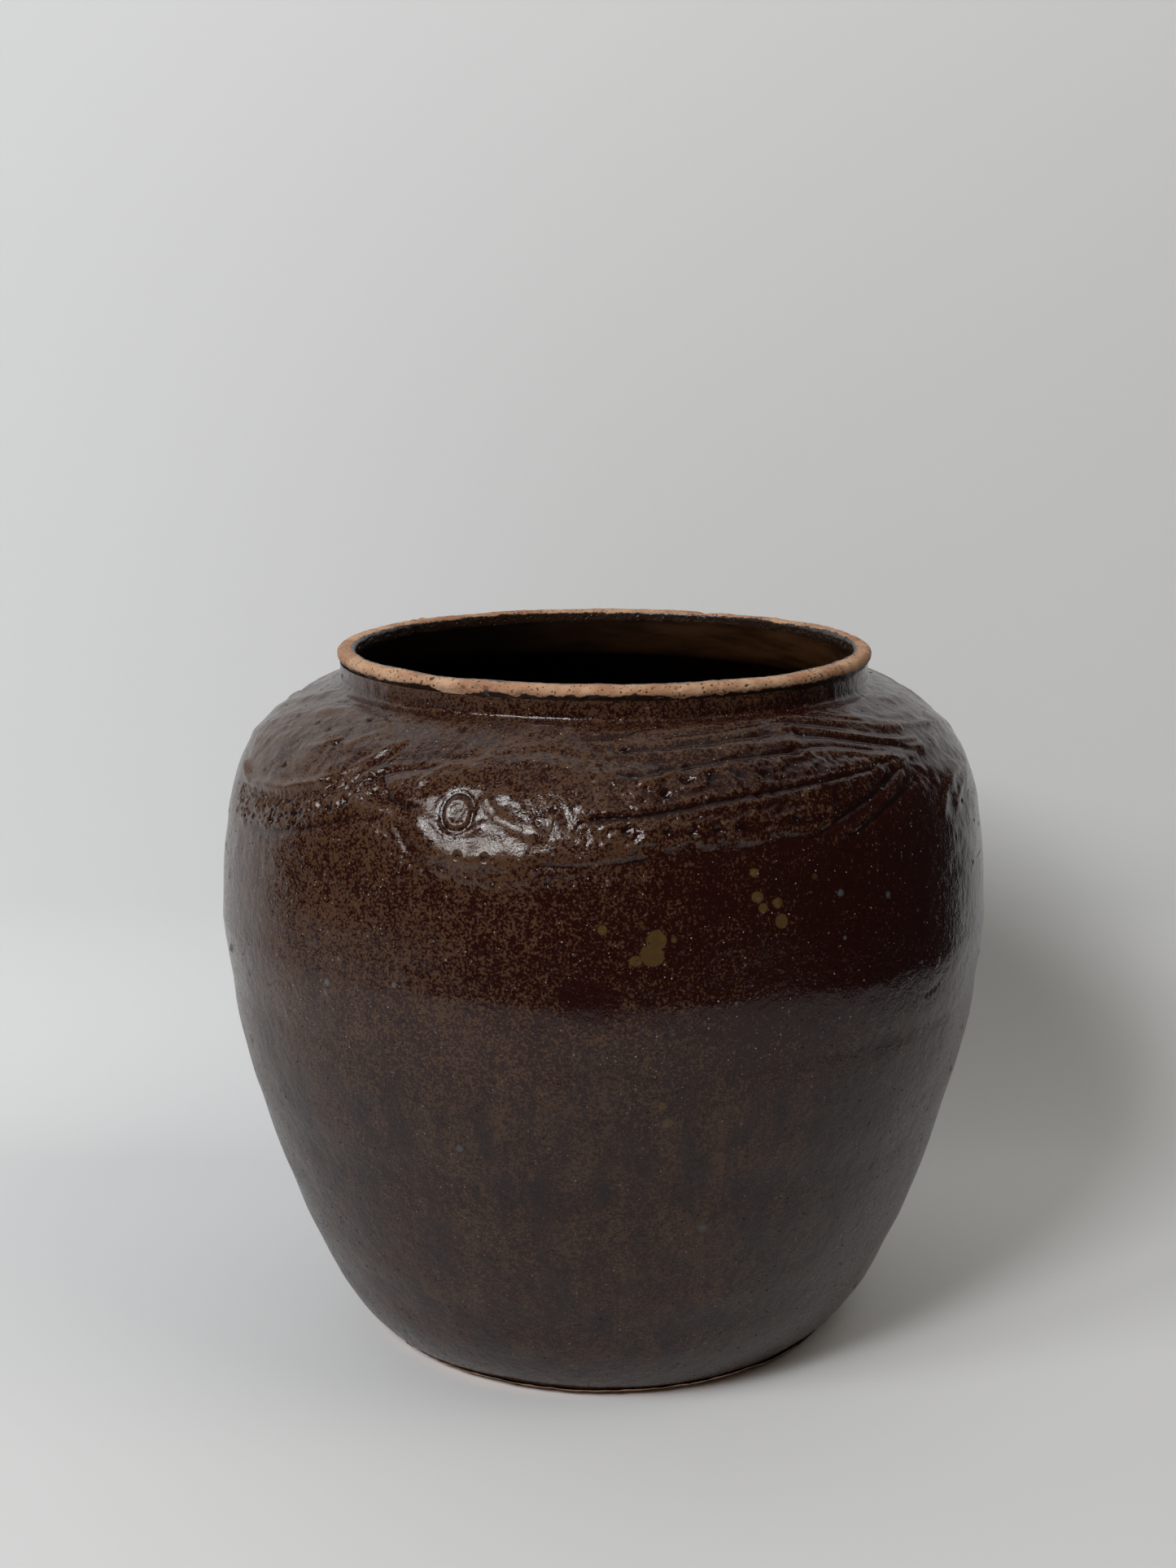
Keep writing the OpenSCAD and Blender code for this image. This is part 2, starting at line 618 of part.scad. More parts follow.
base_disc();
lower_wall();
upper_wall();
neck_ring();
base_seam_coil();
belly_seam_coil();
outer_glaze();
inner_glaze();
carp_body();  // front_carp_body
carp_eye();  // front_carp_eye
dorsal_fin();  // front_dorsal_fin
belly_fin();  // front_belly_fin
tail_fin();  // front_tail_fin
fin_streamers();  // front_fin_streamers
lotus_leaf();  // front_lotus_leaf
wave_band();  // front_wave_band
rear() carp_body();  // rear_carp_body
rear() carp_eye();  // rear_carp_eye
rear() dorsal_fin();  // rear_dorsal_fin
rear() belly_fin();  // rear_belly_fin
rear() tail_fin();  // rear_tail_fin
rear() fin_streamers();  // rear_fin_streamers
rear() lotus_leaf();  // rear_lotus_leaf
rear() wave_band();  // rear_wave_band
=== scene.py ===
"""Wide-mouthed stoneware storage jar with a brown glaze and a carp relief, dressed for rendering."""
import math

import bpy
import numpy as np
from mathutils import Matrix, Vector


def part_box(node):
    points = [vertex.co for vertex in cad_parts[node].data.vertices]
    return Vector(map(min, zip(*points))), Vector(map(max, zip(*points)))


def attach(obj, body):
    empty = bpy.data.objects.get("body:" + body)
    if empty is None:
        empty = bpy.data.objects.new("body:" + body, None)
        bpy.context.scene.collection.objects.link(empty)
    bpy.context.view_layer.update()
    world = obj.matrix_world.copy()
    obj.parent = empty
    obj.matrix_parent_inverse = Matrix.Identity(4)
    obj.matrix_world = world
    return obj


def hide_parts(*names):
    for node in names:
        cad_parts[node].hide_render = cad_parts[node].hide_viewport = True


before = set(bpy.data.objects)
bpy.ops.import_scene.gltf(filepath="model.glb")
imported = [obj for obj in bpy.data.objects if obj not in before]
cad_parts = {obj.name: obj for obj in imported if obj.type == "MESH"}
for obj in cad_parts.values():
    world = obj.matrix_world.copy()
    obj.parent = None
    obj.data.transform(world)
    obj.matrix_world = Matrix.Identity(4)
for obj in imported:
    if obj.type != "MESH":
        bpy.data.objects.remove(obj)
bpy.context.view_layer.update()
MM = 0.001

# Camera: where the photograph was taken from, in millimetres and degrees
CAMERA_PLACE = (-6.1, -844.1, 386.9)
CAMERA_PITCH = 11.99
FOCAL_PIXELS = 2783
PHOTO_LONG_SIDE = 1927
SENSOR = 36

# Sizes of the jar in millimetres, the outer ones read from the frame
BELLY_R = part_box("outer_glaze")[1].x / MM
MOUTH_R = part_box("neck_ring")[1].x / MM
JAR_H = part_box("neck_ring")[1].z / MM
BASE_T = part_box("base_disc")[1].z / MM
FOOT_R = 84.5
SEAM_R = 142.1
SEAM_H = 140
BELLY_H = 165
SHOULDER_H = 250.5
NECK_R = MOUTH_R - 1.5
THROAT_R = MOUTH_R - 6.8
GLAZE_FOOT = 2.5
COLLAR_TOP = JAR_H - 5
WALL_T = 8


def curve(handles, steps):
    """Points along a cubic curve with four handles."""
    t = np.linspace(0, 1, steps + 1)[:, None]
    a, b, c, d = (np.array(h, float) for h in handles)
    return (1 - t) ** 3 * a + 3 * (1 - t) ** 2 * t * b + 3 * (1 - t) * t * t * c + t**3 * d


def bend(start, corner, end, steps):
    """Points along a bend whose end tangents meet at the corner."""
    t = np.linspace(0, 1, steps + 1)[:, None]
    a, c, b = (np.array(p, float) for p in (start, corner, end))
    return (1 - t) ** 2 * a + 2 * (1 - t) * t * c + t * t * b


def arc(middle, radius, start, end, steps):
    """Points along an arc, with its angles in degrees."""
    t = np.radians(np.linspace(start, end, steps + 1))
    return np.stack([middle[0] + radius * np.cos(t), middle[1] + radius * np.sin(t)], 1)


def run_along(line):
    """Distance along a line to each of its points."""
    return np.concatenate([[0], np.cumsum(np.hypot(*np.diff(line, axis=0).T))])


def at_runs(line, runs):
    """Points of a line at the given distances along it."""
    have = run_along(line)
    return np.stack([np.interp(runs, have, line[:, k]) for k in (0, 1)], 1)


def right_of(line):
    """Unit normals on the right-hand side of a line."""
    along = np.gradient(line, axis=0)
    along /= np.linalg.norm(along, axis=1)[:, None]
    return np.stack([along[:, 1], -along[:, 0]], 1)


# Outside of the glazed body as radius and height: foot to seam, seam to belly, belly to neck, collar
body_line = np.vstack([
    curve([(FOOT_R, 0), (FOOT_R + 28.3, 10.1), (SEAM_R - 0.6, SEAM_H - 22), (SEAM_R, SEAM_H)], 400),
    curve([(SEAM_R, SEAM_H), (SEAM_R + 1, SEAM_H + 8), (BELLY_R, BELLY_H - 8), (BELLY_R, BELLY_H)], 80)[1:],
    curve([(BELLY_R, BELLY_H), (BELLY_R - 3.3, BELLY_H + 54.5),
           (NECK_R + 40.3, SHOULDER_H - 15.3), (NECK_R, SHOULDER_H)], 500)[1:],
])
body_run = run_along(body_line)
NECK_RUN = body_run[-1]
HOLLOW = 3
bend_start = at_runs(body_line, [NECK_RUN - HOLLOW * 1.6])[0]
coat_line = np.vstack([
    body_line[body_run < NECK_RUN - HOLLOW * 1.6],
    bend(bend_start, (NECK_R + 0.3, SHOULDER_H - 1.3), (NECK_R + 0.2, SHOULDER_H + 0.9), 24),
    [(NECK_R + 0.4, COLLAR_TOP)],
])
COAT_RUN = run_along(coat_line)[-1]
FOOT_RUN = float(np.interp(GLAZE_FOOT, body_line[:400, 1], body_run[:400]))

# Surface noise shared by every glazed skin: periodic round the jar, one row per millimetre of run
rng = np.random.default_rng(7)
NOISE_COLS = 1440
NOISE_ROWS = 320


def smooth_noise(size_across, size_along):
    """Seeded noise of unit spread whose lumps have the given sizes in millimetres."""
    raw = np.fft.rfft2(rng.standard_normal((NOISE_ROWS, NOISE_COLS)))
    down = np.fft.fftfreq(NOISE_ROWS)[:, None]
    across = np.fft.rfftfreq(NOISE_COLS)[None, :]
    cell = 2 * math.pi * 130 / NOISE_COLS
    raw *= np.exp(-((down * size_along) ** 2 + (across * size_across / cell) ** 2) * 2 * math.pi)
    out = np.fft.irfft2(raw, s=(NOISE_ROWS, NOISE_COLS))
    return out / out.std()


waves_long = smooth_noise(60, 34)
waves_mid = smooth_noise(16, 10)
waves_fine = smooth_noise(4.5, 3.5)
rings = smooth_noise(900, 9)
grit = np.maximum(smooth_noise(1.6, 1.6) - 2.4, 0)
pores = np.maximum(smooth_noise(1.9, 1.9) - 2.9, 0)
peel = smooth_noise(2.2, 2.0)
lumps = smooth_noise(8, 5)


def read_noise(field, turns, runs):
    """Noise at turns in radians and runs in millimetres, on the grid of both."""
    col = np.round(turns / (2 * math.pi) * NOISE_COLS).astype(int) % NOISE_COLS
    row = np.clip(runs + 12, 0, NOISE_ROWS - 2)
    low = row.astype(int)
    part = (row - low)[:, None]
    return field[low][:, col] * (1 - part) + field[low + 1][:, col] * part


def body_bumps(turns, runs):
    """Unevenness of the thrown and glazed wall in millimetres."""
    h = 0.28 * read_noise(waves_long, turns, runs) + 0.09 * read_noise(waves_mid, turns, runs)
    h += 0.03 * read_noise(waves_fine, turns, runs) + 0.10 * read_noise(rings, turns, runs)
    h += 0.42 * read_noise(grit, turns, runs) - 0.45 * read_noise(pores, turns, runs)
    return h


def tan_and_shade_share(turns, runs):
    """How much of the dark glaze is covered by tan grains: more on one side and on the shoulder, less in a zone of
    painted shade on the side turned from the window.
    """
    high = runs[:, None] - NECK_RUN
    share = 0.285 + 0.125 * np.cos(turns + 1.35) + 0.05 * read_noise(waves_long, turns, runs)
    share = share + 0.035 * read_noise(waves_mid, turns, runs) + 0.03 * read_noise(rings, turns, runs)
    share -= 0.05 * np.exp(-((high + 96) / 16) ** 2) + 0.10 * np.exp(-((high + 6) / 8) ** 2)
    # Less tan in a zone on the side turned from the window: the deep red glaze there, darkened further as painted shade
    share -= 0.28 * np.exp((np.cos(turns - 0.66) - 1) * 7) * np.exp(-((high + 70) / 55) ** 4)
    return share + 0.14 * np.clip((high - 2) / 3, 0, 1)


# Relief. Points are turns in degrees and runs up the wall in millimetres, with the neck at 286
DRAWN_NECK = 286
fish_edge = [
    (-34.5, 250), (-31, 255), (-28, 258), (-20, 262), (-10, 266), (0, 262), (20, 261), (33, 261), (45, 257),
    (53, 252), (53, 250), (45, 246), (33, 235), (20, 230), (10, 229), (0, 224), (-8, 220), (-18, 218.5),
    (-25, 222), (-29, 232), (-31, 239),
]
dorsal_edge = [
    (-18, 264), (-15.5, 272), (-12, 279.5), (-7, 280), (0, 279.5), (14, 280.5), (30, 280), (36, 275), (34, 267),
    (28, 263), (10, 262), (0, 263.5), (-10, 267),
]
leaf_edge = [
    (-80, 250), (-76, 262), (-70, 270), (-62, 276), (-54, 279), (-47, 277.5), (-41, 272), (-37, 264),
    (-39, 257), (-42, 250), (-45, 245), (-50, 241), (-55, 238), (-60, 237), (-67, 237), (-74, 241),
]
tail_edges = [
    [(54, 250.5), (60, 250), (68, 251), (76, 255), (83, 259.5), (83, 263), (76, 261), (68, 256), (60, 254)],
    [(54, 248.5), (59, 238), (66, 231), (74, 233), (80, 238), (80, 243), (74, 245), (66, 246), (59, 247)],
]
mounds = [
    (fish_edge, 1.5, 9.0),
    (dorsal_edge, 0.6, 4.0),
    (leaf_edge, 1.2, 6.0),
    (tail_edges[0], 0.7, 4.0),
    (tail_edges[1], 0.8, 6.0),
]

# Raised strokes: points, height and half width
ridges = [
    ([(-72, 239), (-68, 236), (-64, 236), (-60, 237), (-55, 238), (-50, 241), (-46, 244)], 3.1, 1.4),
    ([(-46, 244), (-42, 250), (-39, 257), (-37, 263), (-36, 266)], 1.2, 1.5),
    ([(-62, 269), (-60, 271), (-58, 274)], 0.7, 1.5),
    ([(-56, 254), (-53, 255.5), (-51, 257)], 0.5, 1.1),
    ([(-46, 260), (-44, 264), (-42, 268), (-40.5, 271.5)], 0.55, 1.2),
    ([(-58, 261), (-53, 262), (-50, 262)], 0.35, 1.2),
    ([(-75, 249), (-70, 252), (-64, 255)], 0.5, 1.6),
    ([(-80, 262), (-74, 266), (-69, 271), (-64, 276)], 0.9, 2.2),
    ([(-88, 246), (-80, 250), (-74, 257)], 0.9, 2.2),
    ([(-86, 262), (-80, 270), (-74, 277)], 1.1, 2.6),
    ([(-36, 254), (-33, 256), (-28, 258.5), (-25, 259)], 0.45, 0.9),
    ([(-34, 246), (-32, 249), (-30, 251)], 0.7, 1.0),
    ([(-38, 243.5), (-37, 246)], 0.4, 0.8),
    ([(-38, 239.5), (-35, 238.8), (-32, 238), (-30, 236)], 0.75, 1.5),
    ([(-31, 233), (-30, 229), (-28, 225), (-25, 221.5), (-19, 218.5), (-12, 218.5)], 0.25, 2.0),
    ([(-12, 218.5), (-3, 219.5), (6, 221)], 0.25, 1.6),
    ([(-26.5, 235), (-25, 231), (-22.5, 228), (-19, 227), (-14, 227.5), (-10, 229), (-6, 230), (0, 229.5)],
     1.1, 3.2),
    ([(-24.6, 237), (-23, 234.2), (-20.5, 233.4), (-18.2, 235), (-17, 238)], 0.45, 0.8),
    ([(-28, 250), (-27, 253), (-25.3, 257), (-22.5, 258.3), (-20.8, 256.5)], 0.8, 0.9),
    ([(-26, 252), (-24, 253.5), (-21.5, 252.5)], 0.5, 0.9),
    ([(-17, 245), (-15.6, 241), (-12.5, 237.2), (-8, 234.5), (-2, 233)], 0.9, 1.7),
    ([(-19, 263), (-18.4, 266)], 0.8, 1.5),
    ([(-17, 270), (-15, 274), (-13, 278), (-11.5, 280), (-9.5, 278.5)], 0.75, 1.6),
    ([(-8, 275.5), (-6, 279)], 0.45, 1.2),
    ([(-2, 270.5), (8, 271.2), (16, 273), (26, 275.3), (34, 276.5)], 0.5, 1.1),
    ([(0, 277), (10, 277.3), (20, 279), (34, 279.8)], 0.45, 1.1),
    ([(4, 264.5), (12, 265.5), (20, 267.3), (26, 267.8), (31, 267), (34, 265)], 0.55, 1.2),
    ([(5, 252), (8, 254.5), (10.2, 256.5), (12.5, 255), (15, 257), (17.2, 257), (19.5, 259), (22, 257),
      (24.3, 259.8), (26.6, 257), (28.5, 260.2), (30.8, 258.6), (33.3, 260.6)], 1.3, 0.95),
    ([(9.8, 251), (9.9, 255.5)], 0.4, 0.8),
    ([(13.3, 251), (13.3, 255)], 0.4, 0.8),
    ([(17.8, 251.5), (17.8, 256)], 0.4, 0.8),
    ([(22, 252), (22, 256.5)], 0.4, 0.8),
    ([(26.6, 252.5), (26.6, 257)], 0.4, 0.8),
    ([(33, 260.6), (35, 261), (38, 260.2), (42, 258), (45, 256), (48, 254), (50.5, 252.6), (53, 251)], 1.0, 1.1),
    ([(0, 243), (5, 243.5), (12, 246.2), (18, 248), (25, 249.6), (33, 250.7), (44, 251.2)], 0.45, 1.0),
    ([(0, 237.8), (6, 239), (12, 241.2), (18, 243.2), (25, 244.9), (33, 246.3), (44, 248.2), (50, 249.6),
      (52, 249)], 0.45, 0.95),
    ([(3, 231), (5, 233.3), (8, 231.3), (11, 233.4), (14, 231.6), (17, 233.8), (20, 232), (24, 234.2),
      (28, 232.8), (33, 234.5)], 1.1, 1.0),
    ([(5, 236), (8, 238), (11, 236.4), (14, 238.6), (17, 236.6), (20, 239.2), (24, 237.2), (28, 239.8),
      (33, 238.4)], 0.9, 0.95),
    ([(33.4, 228.6), (35, 231), (38, 232.8), (42, 236.2), (46, 241), (50, 246.5)], 0.95, 1.1),
    ([(44, 233.5), (49, 236.5), (54, 240.5)], 0.5, 1.0),
    ([(40, 229), (46, 231), (52, 236), (56, 241)], 0.4, 1.2),
    ([(30.5, 272), (33, 273.2), (36, 273.6), (38, 272.2), (41, 270), (45, 266.3), (49, 263), (52, 261),
      (56, 258.5), (61, 256.5)], 0.95, 1.0),
    ([(26, 280.3), (31, 280.6), (35, 281.2), (38, 280.4), (41, 278.2), (44, 276), (48, 272.3), (52, 268.8),
      (55, 266.3), (60, 263)], 0.9, 1.0),
    ([(43.5, 282.6), (46, 279), (49, 275.6), (53, 270.6), (58, 266.6), (64, 262.6), (72, 259)], 1.05, 1.3),
    ([(48.5, 282.4), (49.6, 279), (52, 274.5), (56, 270.5)], 0.8, 1.1),
    ([(43, 281.8), (45, 278.6), (48, 275)], 0.5, 0.8),
    ([(47, 269), (50, 266.5), (54, 262.5), (58, 260)], 0.5, 0.8),
    ([(50, 257.5), (55, 256), (61, 253)], 0.5, 0.9),
    ([(58, 229.5), (60, 233), (62, 236.5), (66, 240), (72, 241.5)], 1.2, 2.0),
    ([(64, 229), (68, 234), (74, 236)], 0.8, 1.8),
    ([(70, 262), (76, 257), (84, 254)], 0.8, 2.0),
    ([(60, 270), (68, 266.5), (78, 266)], 0.7, 1.8),
    ([(72, 275), (80, 272), (90, 270)], 0.9, 2.2),
]

# Cut strokes: points, depth and half width
grooves = [
    ([(-65, 221.5), (-60, 222), (-54, 223.5), (-47, 227.5), (-42, 231.5), (-37, 235.5)], 0.5, 1.6),
    ([(-59, 229), (-54, 230), (-49, 232), (-44, 235.5), (-40, 239)], 0.3, 1.4),
    ([(-57, 234), (-51, 236.5), (-46, 240), (-42, 245)], 0.35, 1.2),
    ([(-34, 246.5), (-32, 242.5), (-29.5, 240.8), (-27.5, 241)], 0.7, 1.0),
    ([(-35, 252), (-31, 254.2), (-28, 255.5)], 0.4, 0.8),
    ([(-29, 233), (-28, 229.5), (-26, 226.2), (-23, 223.2), (-19, 221.8), (-14, 222)], 0.4, 2.2),
    ([(-9, 225.2), (-5, 224.8), (-2, 225)], 0.55, 0.9),
    ([(-1, 225.6), (2, 226.2), (5, 227.4)], 0.75, 0.9),
    ([(3, 267.6), (10, 268.4), (18, 270), (24, 271.3), (30, 272)], 0.7, 1.0),
    ([(-4, 273.5), (1, 274.6), (5, 277), (10, 279.5)], 0.6, 1.0),
    ([(10, 273.6), (18, 275.8), (28, 278.2)], 0.35, 0.8),
    ([(2, 256), (5, 254.8), (8, 257.5), (12, 259.3), (16, 260), (20, 261.8), (26, 262.4), (32, 263)], 0.8, 1.1),
    ([(25, 251.2), (35, 251.4), (45, 251.3), (53, 251.5)], 0.45, 0.7),
    ([(-2, 240), (5, 241), (12, 243.5), (18, 245.5), (25, 247), (33, 248.3), (40, 249.2), (44, 249.8)], 0.95, 0.95),
    ([(31, 232), (35, 236), (40, 239.6), (45, 243.6), (50, 248)], 0.85, 0.95),
    ([(36.5, 229.5), (41, 233.6), (45, 237), (50, 240.6), (53, 242.6)], 0.75, 1.0),
    ([(34.5, 278.5), (38, 276), (42, 273.4), (46, 270), (50, 266), (54, 262.6), (58, 260)], 0.8, 1.2),
    ([(34.5, 270.5), (40, 267.4), (46, 262.6), (52, 257.5), (56, 254.8)], 0.85, 1.3),
    ([(38, 283), (41, 280.6), (45, 277.4), (49, 273.5), (52, 270.6)], 0.5, 0.8),
    ([(33.5, 262.8), (37, 263), (42, 260.5), (47, 257)], 0.4, 0.9),
    ([(22, 264), (28, 265), (32, 264)], 0.3, 0.8),
]

# Round pits: turn, run, depth and radius
pits = [
    (8, 248.8, 0.7, 1.3), (11.4, 253.2, 0.8, 1.1), (15.4, 253.2, 0.8, 1.2), (20, 253.8, 0.8, 1.2),
    (24.2, 253.6, 0.8, 1.2), (29, 255.8, 0.8, 1.3), (2.5, 237, 0.6, 1.2), (8, 236, 0.6, 1.1), (11.5, 235.6, 0.6, 1.1),
    (15, 236, 0.6, 1.1), (18.5, 236.6, 0.6, 1.1), (22.5, 237, 0.5, 1.1), (27, 237.4, 0.5, 1.1),
    (-20, 226.5, 1.0, 0.8), (-16.2, 226.6, 1.0, 0.8), (-57.3, 245.5, 0.6, 0.9), (-48.8, 259, 0.9, 0.9),
    (-46.9, 272.5, 0.5, 0.9), (-26.3, 275.5, 0.5, 1.0), (-54, 263.5, 0.4, 0.9), (-58.5, 265, 0.3, 0.9),
]
domes = [
    (-48.8, 261.3, 0.5, 1.2), (-48.8, 256.6, 0.4, 1.1), (-50.5, 259, 0.4, 1.1), (-47.2, 259, 0.4, 1.1),
    (20, 221, 0.4, 1.2), (20.3, 213.5, 0.35, 1.4), (23, 211, 0.35, 1.2), (33, 211.5, 0.3, 1.0), (41.7, 207.5, 0.4, 1.2),
]
EYE = (-21, 240.5)


def rounded(points):
    """Given points joined by a smooth line."""
    p = np.array(points, float)
    if len(p) < 3:
        return p
    ends = np.vstack([2 * p[0] - p[1], p, 2 * p[-1] - p[-2]])
    parts = []
    for k in range(1, len(ends) - 2):
        a, b, c, d = ends[k - 1:k + 3]
        t = np.linspace(0, 1, 5)[:-1, None]
        parts.append(0.5 * (2 * b + (c - a) * t + (2 * a - 5 * b + 4 * c - d) * t**2
                            + (3 * b - a - 3 * c + d) * t**3))
    return np.vstack([*parts, p[-1:]])


class Field:
    """Heights on a grid of turns in degrees and runs in millimetres."""

    def __init__(self, turns, runs, radii):
        self.turns, self.runs = np.meshgrid(turns, runs)
        self.scale = np.repeat(np.radians(1) * radii[:, None], len(turns), 1)
        self.height = np.zeros(self.turns.shape)
        self.detail = np.zeros(self.turns.shape)
        self.raised = np.zeros(self.turns.shape)

    def window(self, points, margin):
        """Slices of the grid round some points, so wide in millimetres."""
        p = np.array(points)
        wide = margin / self.scale.min()
        cols = np.flatnonzero((self.turns[0] > p[:, 0].min() - wide) & (self.turns[0] < p[:, 0].max() + wide))
        rows = np.flatnonzero((self.runs[:, 0] > p[:, 1].min() - margin) & (self.runs[:, 0] < p[:, 1].max() + margin))
        if not len(cols) or not len(rows):
            return None
        return slice(rows[0], rows[-1] + 1), slice(cols[0], cols[-1] + 1)

    def distance(self, at, points):
        """Distance from each grid point of a window to a line of points."""
        near = np.full(self.turns[at].shape, 1e9)
        for a, b in zip(points[:-1], points[1:]):
            ax, ay = (a[0] - self.turns[at]) * self.scale[at], a[1] - self.runs[at]
            dx, dy = (b[0] - a[0]) * self.scale[at], b[1] - a[1]
            t = np.clip(-(ax * dx + ay * dy) / (dx * dx + dy * dy + 1e-9), 0, 1)
            near = np.minimum(near, (ax + t * dx) ** 2 + (ay + t * dy) ** 2)
        return np.sqrt(near)

    def stroke(self, points, height, width):
        """A raised line, or a cut one where the height is negative."""
        line = rounded(points)
        at = self.window(line, 4 * width)
        if at:
            shape = height * np.exp(-(self.distance(at, line) / width) ** 2)
            self.height[at] += shape
            self.detail[at] += shape

    def dot(self, turn, run, height, radius):
        """A small dome, or a pit where the height is negative."""
        at = self.window([(turn, run)], 3 * radius)
        if at:
            far = np.hypot((self.turns[at] - turn) * self.scale[at], self.runs[at] - run)
            shape = height * np.exp(-(far / radius) ** 2.6)
            self.height[at] += shape
            self.detail[at] += shape

    def ring(self, turn, run, height, radius, width):
        """A raised or cut ring, a little taller than wide."""
        at = self.window([(turn, run)], radius + 4 * width)
        if at:
            far = np.hypot((self.turns[at] - turn) * self.scale[at] * 1.1, (self.runs[at] - run) * 0.92)
            shape = height * np.exp(-((far - radius) / width) ** 2)
            self.height[at] += shape
            self.detail[at] += shape

    def mound(self, edge, height, width):
        """A soft pad of clay inside a closed edge."""
        line = rounded(edge + edge[:1])
        at = self.window(line, 3)
        if not at:
            return
        far = self.distance(at, line)
        x, y = self.turns[at], self.runs[at]
        inside = np.zeros(x.shape, bool)
        for a, b in zip(line[:-1], line[1:]):
            crosses = (a[1] > y) != (b[1] > y)
            inside ^= crosses & (x < (b[0] - a[0]) * (y - a[1]) / (b[1] - a[1] + 1e-12) + a[0])
        t = np.clip((np.where(inside, far, -far) + 1.2) / (width + 1.2), 0, 1)
        self.height[at] += height * np.sqrt(t * t * (3 - 2 * t)) * np.clip(t * 6, 0, 1)
        self.raised[at] = np.maximum(self.raised[at], np.clip(t * 6, 0, 1))


def carve_relief(field):
    """The carp, its fins, the lotus leaf and the waves, once round half the jar."""
    for edge, height, width in mounds:
        field.mound(edge, height, width)
    for points, height, width in ridges:
        field.stroke(points, 0.62 * height, 1.4 * width)
    for points, depth, width in grooves:
        field.stroke(points, -0.85 * depth, 1.05 * width)
    for turn, run, depth, radius in pits:
        field.dot(turn, run, -1.3 * depth, 1.45 * radius)
    for turn, run, height, radius in domes:
        field.dot(turn, run, height, radius)
    field.ring(*EYE, 0.36, 3.8, 1.2)
    field.ring(*EYE, -0.55, 6.0, 1.1)
    field.dot(EYE[0] + 0.3, EYE[1] - 0.4, 0.2, 2.0)
    field.dot(EYE[0] + 1.2, EYE[1] - 4.2, 0.5, 1.5)
    field.dot(EYE[0] + 4.2, EYE[1] - 1, -0.4, 2.4)
    dots = np.random.default_rng(11)
    for run in np.arange(230, 281, 2.6):
        for turn in np.arange(-16, 50, 1.35):
            here = turn + dots.uniform(-0.6, 0.6), run + dots.uniform(-0.9, 0.9)
            lowest = np.interp(here[0], [-16, 5, 20, 33, 45, 50], [233, 231, 232, 236, 245, 249])
            highest = np.interp(here[0], [-16, 2, 10, 33, 45, 50], [281, 270, 260, 260, 256, 252])
            strong = np.clip((here[0] + 14) / 22, 0.15, 1)
            if lowest < here[1] < highest:
                field.dot(*here, strong * dots.choice([-0.5, -0.25, 0.2, 0.35]), dots.uniform(0.8, 1.4))
    for turn in np.arange(-70, -36, 1.3):
        rim = np.interp(turn, [-68, -60, -50, -45, -42, -36], [235.5, 236.5, 240.5, 244.5, 249.5, 256])
        long = 4 + dots.uniform(-2, 2.5)
        field.stroke([(turn, rim - 2.6), (turn - 1.3, rim - 2.6 - long)], dots.uniform(0.2, 0.7), 0.7)
        for below in np.arange(3, 15, 2.0):
            here = turn + dots.uniform(-0.8, 0.8), rim - below + dots.uniform(-1, 1)
            field.dot(*here, dots.choice([-0.6, -0.35, 0.25, 0.4]), dots.uniform(0.7, 1.3))
    for turn in np.arange(-35, 8, 1.6):
        low = np.interp(turn, [-35, -25, -14, 8], [232, 221, 218, 221]) + dots.uniform(-2.5, 2)
        field.dot(turn, low, dots.choice([-0.4, 0.3, 0.45]), dots.uniform(0.7, 1.1))


def mesh_piece(name, place, across, nodes, flip=False, facts=None, normal=None):
    """A grid of points made into a smooth piece; across tells if it closes on itself."""
    rows, cols = place.shape[:2]
    count = cols if across else cols - 1
    i = np.arange(count)
    j = np.arange(rows - 1)[:, None]
    a = j * cols + i
    b = j * cols + (i + 1) % cols
    quads = np.stack([a, b, b + cols, a + cols], -1).reshape(-1, 4)
    if flip:
        quads = quads[:, ::-1]
    me = bpy.data.meshes.new(name)
    me.vertices.add(rows * cols)
    me.vertices.foreach_set("co", (place * MM).ravel())
    me.loops.add(quads.size)
    me.loops.foreach_set("vertex_index", quads.ravel())
    me.polygons.add(len(quads))
    me.polygons.foreach_set("loop_start", np.arange(0, quads.size, 4))
    me.polygons.foreach_set("use_smooth", np.ones(len(quads), bool))
    for key, value in (facts or {}).items():
        layer = me.attributes.new(key, "FLOAT", "POINT")
        layer.data.foreach_set("value", value.ravel().astype(np.float32))
    me.update(calc_edges=True)
    me.validate()
    if normal is not None:
        me.normals_split_custom_set_from_vertices(normal.reshape(-1, 3).tolist())
    ob = bpy.data.objects.new(name, me)
    bpy.context.scene.collection.objects.link(ob)
    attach(ob, "root")
    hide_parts(*nodes)
    return ob


def normals_of(place, across, flip=False):
    """Unit normals of a grid of points, the same on both sides of a seam."""
    wide = np.concatenate([place[:, -1:], place, place[:, :1]], 1) if across else place
    along = np.gradient(wide, axis=1)
    if across:
        along = along[:, 1:-1]
    up = np.gradient(place, axis=0)
    n = np.cross(along, up)
    n /= np.linalg.norm(n, axis=-1, keepdims=True) + 1e-12
    return -n if flip else n


def revolve(line, turns, lift):
    """Points of a line turned round the axis, moved along the line's normals by the lift."""
    side = right_of(line)
    radius = line[:, :1] + lift * side[:, :1]
    height = line[:, 1:] + lift * side[:, 1:]
    return np.stack([radius * np.sin(turns), -radius * np.cos(turns), height], -1)


# Skins of the glazed outside
SKIRT_RUN = 205 + NECK_RUN - DRAWN_NECK
fine_turns = np.arange(1440) / 1440 * 2 * math.pi
wide_turns = np.arange(720) / 720 * 2 * math.pi

